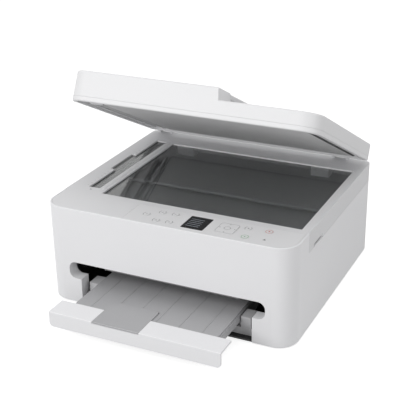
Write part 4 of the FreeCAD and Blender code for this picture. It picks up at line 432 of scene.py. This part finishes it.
def round_corner(x, y):
    r = PAD_FRONT_R if y < 0 else PAD_REAR_R
    cx = min(max(x, PAD_X[0] + r), PAD_X[1] - r)
    cy = min(max(y, PAD_Y[0] + r), PAD_Y[1] - r)
    dx, dy = x - cx, y - cy
    if dx == 0 or dy == 0:
        return x, y
    pull = max(abs(dx), abs(dy)) / math.hypot(dx, dy)
    return cx + dx * pull, cy + dy * pull


def pad_depth(x, y):
    inside = min(x - PAD_X[0], PAD_X[1] - x, y - PAD_Y[0], PAD_Y[1] - y)
    roll = 1 - min(inside / PAD_ROLL, 1.0)
    middle, half = sum(PAD_Y) / 2, (PAD_Y[1] - PAD_Y[0]) / 2
    full = PAD_THICK - PAD_CROWN * ((y - middle) / half) ** 2
    wave = PAD_WAVE * noise.noise(Vector((x, y, 0)) * PAD_WAVES_PER_METRE)
    return full * (PAD_EDGE_SHARE + (1 - PAD_EDGE_SHARE) * math.sqrt(1 - roll * roll)) - abs(wave)


def soft_pad():
    xs, ys = fine_steps(*PAD_X, PAD_CELLS_WIDE), fine_steps(*PAD_Y, PAD_CELLS_LONG)
    across, count = len(xs), len(xs) * len(ys)
    places = [(x, y) for y in ys for x in xs]
    under = [open_lid((*round_corner(x, y), PAD_TOP - pad_depth(x, y))) for x, y in places]
    upper = [open_lid((*round_corner(x, y), PAD_TOP)) for x, y in places]
    faces, skin = [], set()
    for j in range(len(ys) - 1):
        for i in range(across - 1):
            a = j * across + i
            if min(i, across - 2 - i, j, len(ys) - 2 - j) >= PAD_SHADOW_CELLS:
                skin.add(len(faces))
            faces.append((a, a + across, a + across + 1, a + 1))
            faces.append((count + a, count + a + 1, count + a + across + 1, count + a + across))
    front = list(range(across))
    right = [j * across + across - 1 for j in range(len(ys))]
    rear = [count - 1 - i for i in range(across)]
    left = [j * across for j in reversed(range(len(ys)))]
    for rim in (front, right, rear, left):
        for a, b in zip(rim, rim[1:]):
            faces.append((a, b, count + b, count + a))
    mesh = bpy.data.meshes.new("soft_pad")
    mesh.from_pydata(under + upper, [], faces)
    # The skin's grey-white is painted shade: the white pad is toned down for the shade it lies in under the
    # lid.
    mesh.materials.append(pad_surface("pad_skin_shaded", (0.66, 0.66, 0.665), (0.73, 0.73, 0.735)))
    # The near-black edge material is painted shadow, for the shade on the pad's rim.
    mesh.materials.append(pad_surface("pad_edge_shadow", (0.030, 0.030, 0.031), (0.055, 0.055, 0.057)))
    for face in mesh.polygons:
        face.use_smooth = True
        face.material_index = 0 if face.index in skin else 1
    piece = bpy.data.objects.new("soft_pad", mesh)
    scene.collection.objects.link(piece)
    return piece


def pad_surface(name, dark, light):
    material, tree, shader = blank_material(name)
    weave = fine_noise(tree, PAD_GRAIN)
    mixed_tone(tree, weave, dark, light, shader)
    rough_range(tree, weave, 0.7, 0.9, shader)
    raised = tree.nodes.new("ShaderNodeBump")
    raised.inputs["Strength"].default_value = PAD_GRAIN_SHOWN
    raised.inputs["Distance"].default_value = PAD_GRAIN_HEIGHT
    tree.links.new(weave, raised.inputs["Height"])
    tree.links.new(raised.outputs["Normal"], shader.inputs["Normal"])
    return material


pad = soft_pad()
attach(pad, "lid")
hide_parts("document_pad")
print("pad faces:", len(pad.data.polygons))

# %% [markdown]
# ## Printed signs
# A sign is a very thin layer of ink on the key, so it rides on the key's own body and goes down with it.
# The signs are plain and general: rings, bars, dots and arrows.

# %% Inks and flat shapes
INK = {
    "grey": plastic("ink_grey", (0.22, 0.22, 0.23), (0.20, 0.20, 0.21)),
    # The black ink serves only the painted shadow in the panel's joint.
    "black": plastic("shadow_black", (0.02, 0.02, 0.02), (0.015, 0.015, 0.015)),
    "red": plastic("ink_red", (0.55, 0.09, 0.07), (0.50, 0.08, 0.06)),
    "green": plastic("ink_green", (0.10, 0.38, 0.14), (0.09, 0.34, 0.12)),
}
INK_SINK, INK_RISE = 0.00002, 0.00004


def arc(x, y, inner, outer, start, end, count=16):
    turns = [math.radians(start + (end - start) * i / count) for i in range(count + 1)]
    rim = [[(x + r * math.cos(a), y + r * math.sin(a)) for a in turns] for r in (inner, outer)]
    return [[rim[0][i], rim[1][i], rim[1][i + 1], rim[0][i + 1]] for i in range(count)]


def ring(x, y, inner, outer, count=48):
    return arc(x, y, inner, outer, 0, 360, count)


def brackets(x, y, inner, outer):
    return arc(x, y, inner, outer, -55, 55) + arc(x, y, inner, outer, 125, 235)


def square_ring(x, y, half_wide, half_long, r, line):
    """A rounded square drawn as a line: four corner arcs and the four sides between them."""
    shapes, ends = [], []
    for start, side, way in ((0, 1, 1), (90, -1, 1), (180, -1, -1), (270, 1, -1)):
        corner = arc(x + side * (half_wide - r), y + way * (half_long - r), r - line, r, start, start + 90, 8)
        shapes += corner
        ends.append((corner[0][:2], corner[-1][2:]))
    for (_, (outer, inner)), ((next_inner, next_outer), _) in zip(ends, ends[1:] + ends[:1]):
        shapes.append([inner, outer, next_outer, next_inner])
    return shapes


def bar(x, y, wide, long):
    return [[(x - wide / 2, y - long / 2), (x + wide / 2, y - long / 2), (x + wide / 2, y + long / 2),
             (x - wide / 2, y + long / 2)]]


def arrow(x, y, size, turn):
    points = [(size, 0.0), (-0.6 * size, 0.8 * size), (-0.6 * size, -0.8 * size)]
    c, s = math.cos(turn), math.sin(turn)
    return [[(x + c * px - s * py, y + s * px + c * py) for px, py in points]]


def printed(name, shapes, z, body, ink):
    shell = bmesh.new()
    for points in shapes:
        shell.faces.new([shell.verts.new((px, py, z - INK_SINK)) for px, py in points])
    bmesh.ops.remove_doubles(shell, verts=shell.verts, dist=1e-7)
    bmesh.ops.recalc_face_normals(shell, faces=shell.faces)
    base = list(shell.faces)
    grown = bmesh.ops.extrude_face_region(shell, geom=base, use_keep_orig=True)["geom"]
    bmesh.ops.translate(shell, verts=[v for v in grown if isinstance(v, bmesh.types.BMVert)],
                        vec=(0, 0, INK_SINK + INK_RISE))
    bmesh.ops.recalc_face_normals(shell, faces=shell.faces)
    mesh = bpy.data.meshes.new(name)
    shell.to_mesh(mesh)
    shell.free()
    mesh.materials.append(INK[ink])
    piece = bpy.data.objects.new(name, mesh)
    scene.collection.objects.link(piece)
    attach(piece, body)


# %% [markdown]
# Each key has thin brackets near its rim and one small mark in the middle. The keys that stop and start have
# full rings, in red and green. A black line in the joint at the left end of the panel is painted shadow, for
# the shade inside the narrow gap.

# %% Signs on the keys
KEY_TOP, OK_TOP, PANEL_TOP, SCREEN_TOP = 0.1573, 0.1576, 0.1570, 0.1568
KEY_LINE = (0.0047, 0.0053)
KEY_AT = {
    "mode_key_1": (-0.038, -0.1475), "mode_key_2": (-0.019, -0.134), "mode_key_3": (0.0015, -0.1335),
    "mode_key_4": (-0.016, -0.161), "mode_key_5": (0.0045, -0.160), "back_key": (0.115, -0.1345),
    "stop_key": (0.1455, -0.133), "start_key": (0.1205, -0.1605),
}
MARKS = {
    "mode_key_1": lambda x, y: bar(x, y + 0.0008, 0.0006, 0.0028),
    "mode_key_2": lambda x, y: bar(x - 0.0007, y, 0.0005, 0.0026) + bar(x + 0.0007, y, 0.0005, 0.0026),
    "mode_key_3": lambda x, y: bar(x, y, 0.0028, 0.0006),
    "mode_key_4": lambda x, y: ring(x, y, 0.0009, 0.0014, 24),
    "mode_key_5": lambda x, y: bar(x, y - 0.0006, 0.0024, 0.0005) + bar(x, y + 0.0008, 0.0024, 0.0005),
    "back_key": lambda x, y: arrow(x, y, 0.0018, math.pi),
    "stop_key": lambda x, y: bar(x, y, 0.0024, 0.0024),
    "start_key": lambda x, y: arrow(x, y, 0.0018, 0.0),
}
RING_INK = {"stop_key": "red", "start_key": "green"}
for name, (x, y) in KEY_AT.items():
    frame_line = ring if name in RING_INK else brackets
    shapes = frame_line(x, y, *KEY_LINE) + MARKS[name](x, y)
    printed(name + "_sign", shapes, KEY_TOP, name, RING_INK.get(name, "grey"))

NAVIGATION_AT, ARROW_SIZE = (0.088, -0.146), 0.0013
ARROW_SIDE, ARROW_END = 0.0113, 0.0125
ways = [(0.0, ARROW_END, math.pi / 2), (0.0, -ARROW_END, -math.pi / 2),
        (ARROW_SIDE, 0.0, 0.0), (-ARROW_SIDE, 0.0, math.pi)]
arrows = []
for dx, dy, turn in ways:
    arrows += arrow(NAVIGATION_AT[0] + dx, NAVIGATION_AT[1] + dy, ARROW_SIZE, turn)
arrows += square_ring(*NAVIGATION_AT, half_wide=0.0139, half_long=0.0149, r=0.0044, line=0.0004)
printed("navigation_sign", arrows, KEY_TOP, "navigation_pad", "grey")
printed("ok_sign", ring(*NAVIGATION_AT, inner=0.0043, outer=0.0048), OK_TOP, "ok_key", "grey")

JOINT_SINK = 0.0001
alarm = arrow(0.1485, -0.1586, size=0.0030, turn=math.pi / 2)
corner = arrow(-0.1600, -0.1010, size=0.0022, turn=0.0)
# The black strip in the panel's joint is painted shadow, standing for the shade down in the gap.
joint = bar(-0.0640, -0.1468, wide=0.0004, long=0.0512)
printed("alarm_sign", alarm, PANEL_TOP, "scanner", "grey")
printed("corner_sign", corner, PANEL_TOP, "scanner", "grey")
printed("joint_shadow_line", joint, PANEL_TOP - JOINT_SINK, "scanner", "black")

# %% [markdown]
# ## Marks that repeat
# A row of equal marks is one Geometry Nodes tree: points on a line, one bar on each point, and the result
# made real. The same tree draws the scales beside the glass, the lines of the screen and the size lines
# of the document tray.

# %% A tree for rows


def row_tree():
    tree = bpy.data.node_groups.new("row_of_bars", "GeometryNodeTree")
    for name, kind in (("Count", "NodeSocketInt"), ("Start", "NodeSocketVector"),
                       ("Step", "NodeSocketVector"), ("Size", "NodeSocketVector"),
                       ("Material", "NodeSocketMaterial")):
        tree.interface.new_socket(name, in_out="INPUT", socket_type=kind)
    tree.interface.new_socket("Geometry", in_out="OUTPUT", socket_type="NodeSocketGeometry")
    inside, outside = tree.nodes.new("NodeGroupInput"), tree.nodes.new("NodeGroupOutput")
    line = tree.nodes.new("GeometryNodeMeshLine")
    line.mode = "OFFSET"
    shape = tree.nodes.new("GeometryNodeMeshCube")
    place = tree.nodes.new("GeometryNodeInstanceOnPoints")
    real = tree.nodes.new("GeometryNodeRealizeInstances")
    finish = tree.nodes.new("GeometryNodeSetMaterial")
    links = tree.links
    links.new(inside.outputs["Count"], line.inputs["Count"])
    links.new(inside.outputs["Start"], line.inputs["Start Location"])
    links.new(inside.outputs["Step"], line.inputs["Offset"])
    links.new(inside.outputs["Size"], shape.inputs["Size"])
    links.new(line.outputs["Mesh"], place.inputs["Points"])
    links.new(shape.outputs["Mesh"], place.inputs["Instance"])
    links.new(place.outputs["Instances"], real.inputs["Geometry"])
    links.new(real.outputs["Geometry"], finish.inputs["Geometry"])
    links.new(inside.outputs["Material"], finish.inputs["Material"])
    links.new(finish.outputs["Geometry"], outside.inputs["Geometry"])
    return tree


ROW = row_tree()


def row(name, body, values, turned=False):
    empty = bpy.data.objects.new(name, bpy.data.meshes.new(name + "_empty"))
    scene.collection.objects.link(empty)
    modifier = empty.modifiers.new("row", "NODES")
    modifier.node_group = ROW
    for item in ROW.interface.items_tree:
        if item.in_out == "INPUT":
            modifier[item.identifier] = values[item.name]
    depsgraph = bpy.context.evaluated_depsgraph_get()
    mesh = bpy.data.meshes.new_from_object(empty.evaluated_get(depsgraph), depsgraph=depsgraph)
    mesh.name = name
    empty.modifiers.clear()
    empty.data = mesh
    if turned:
        for vertex in mesh.vertices:
            vertex.co = open_lid(vertex.co)
    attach(empty, body)


# %% [markdown]
# Each scale has a mark every ten millimetres. The screen shows plain pale lines, as a text would.

# %% Rows of marks
GREY_LINE = INK["grey"]
PALE_LINE = plastic("pale_line", (0.30, 0.33, 0.36), (0.27, 0.30, 0.33))
MARK_THICK, DOCUMENT_TRAY_TOP = 0.00008, 0.1805
SCALE_STEP = (0.0, 0.010, 0.0)
row("glass_scale", "scanner",
    {"Count": 23, "Start": (-0.1385, -0.100, PANEL_TOP), "Step": SCALE_STEP,
     "Size": (0.0028, 0.0004, MARK_THICK), "Material": GREY_LINE})
for part_name, start in (("rear_strip_scale", 0.064), ("front_strip_scale", -0.088)):
    row(part_name, "scanner",
        {"Count": 7, "Start": (-0.1722, start, PANEL_TOP), "Step": SCALE_STEP,
         "Size": (0.0032, 0.0005, MARK_THICK), "Material": GREY_LINE})
row("screen_lines", "scanner",
    {"Count": 5, "Start": (0.039, -0.158, SCREEN_TOP), "Step": (0.0, 0.0055, 0.0),
     "Size": (0.020, 0.0011, MARK_THICK), "Material": PALE_LINE})
row("tray_size_lines", "document_tray",
    {"Count": 5, "Start": (0.066, 0.028, DOCUMENT_TRAY_TOP), "Step": (0.022, 0.0, 0.0),
     "Size": (0.0006, 0.030, MARK_THICK), "Material": GREY_LINE}, turned=True)
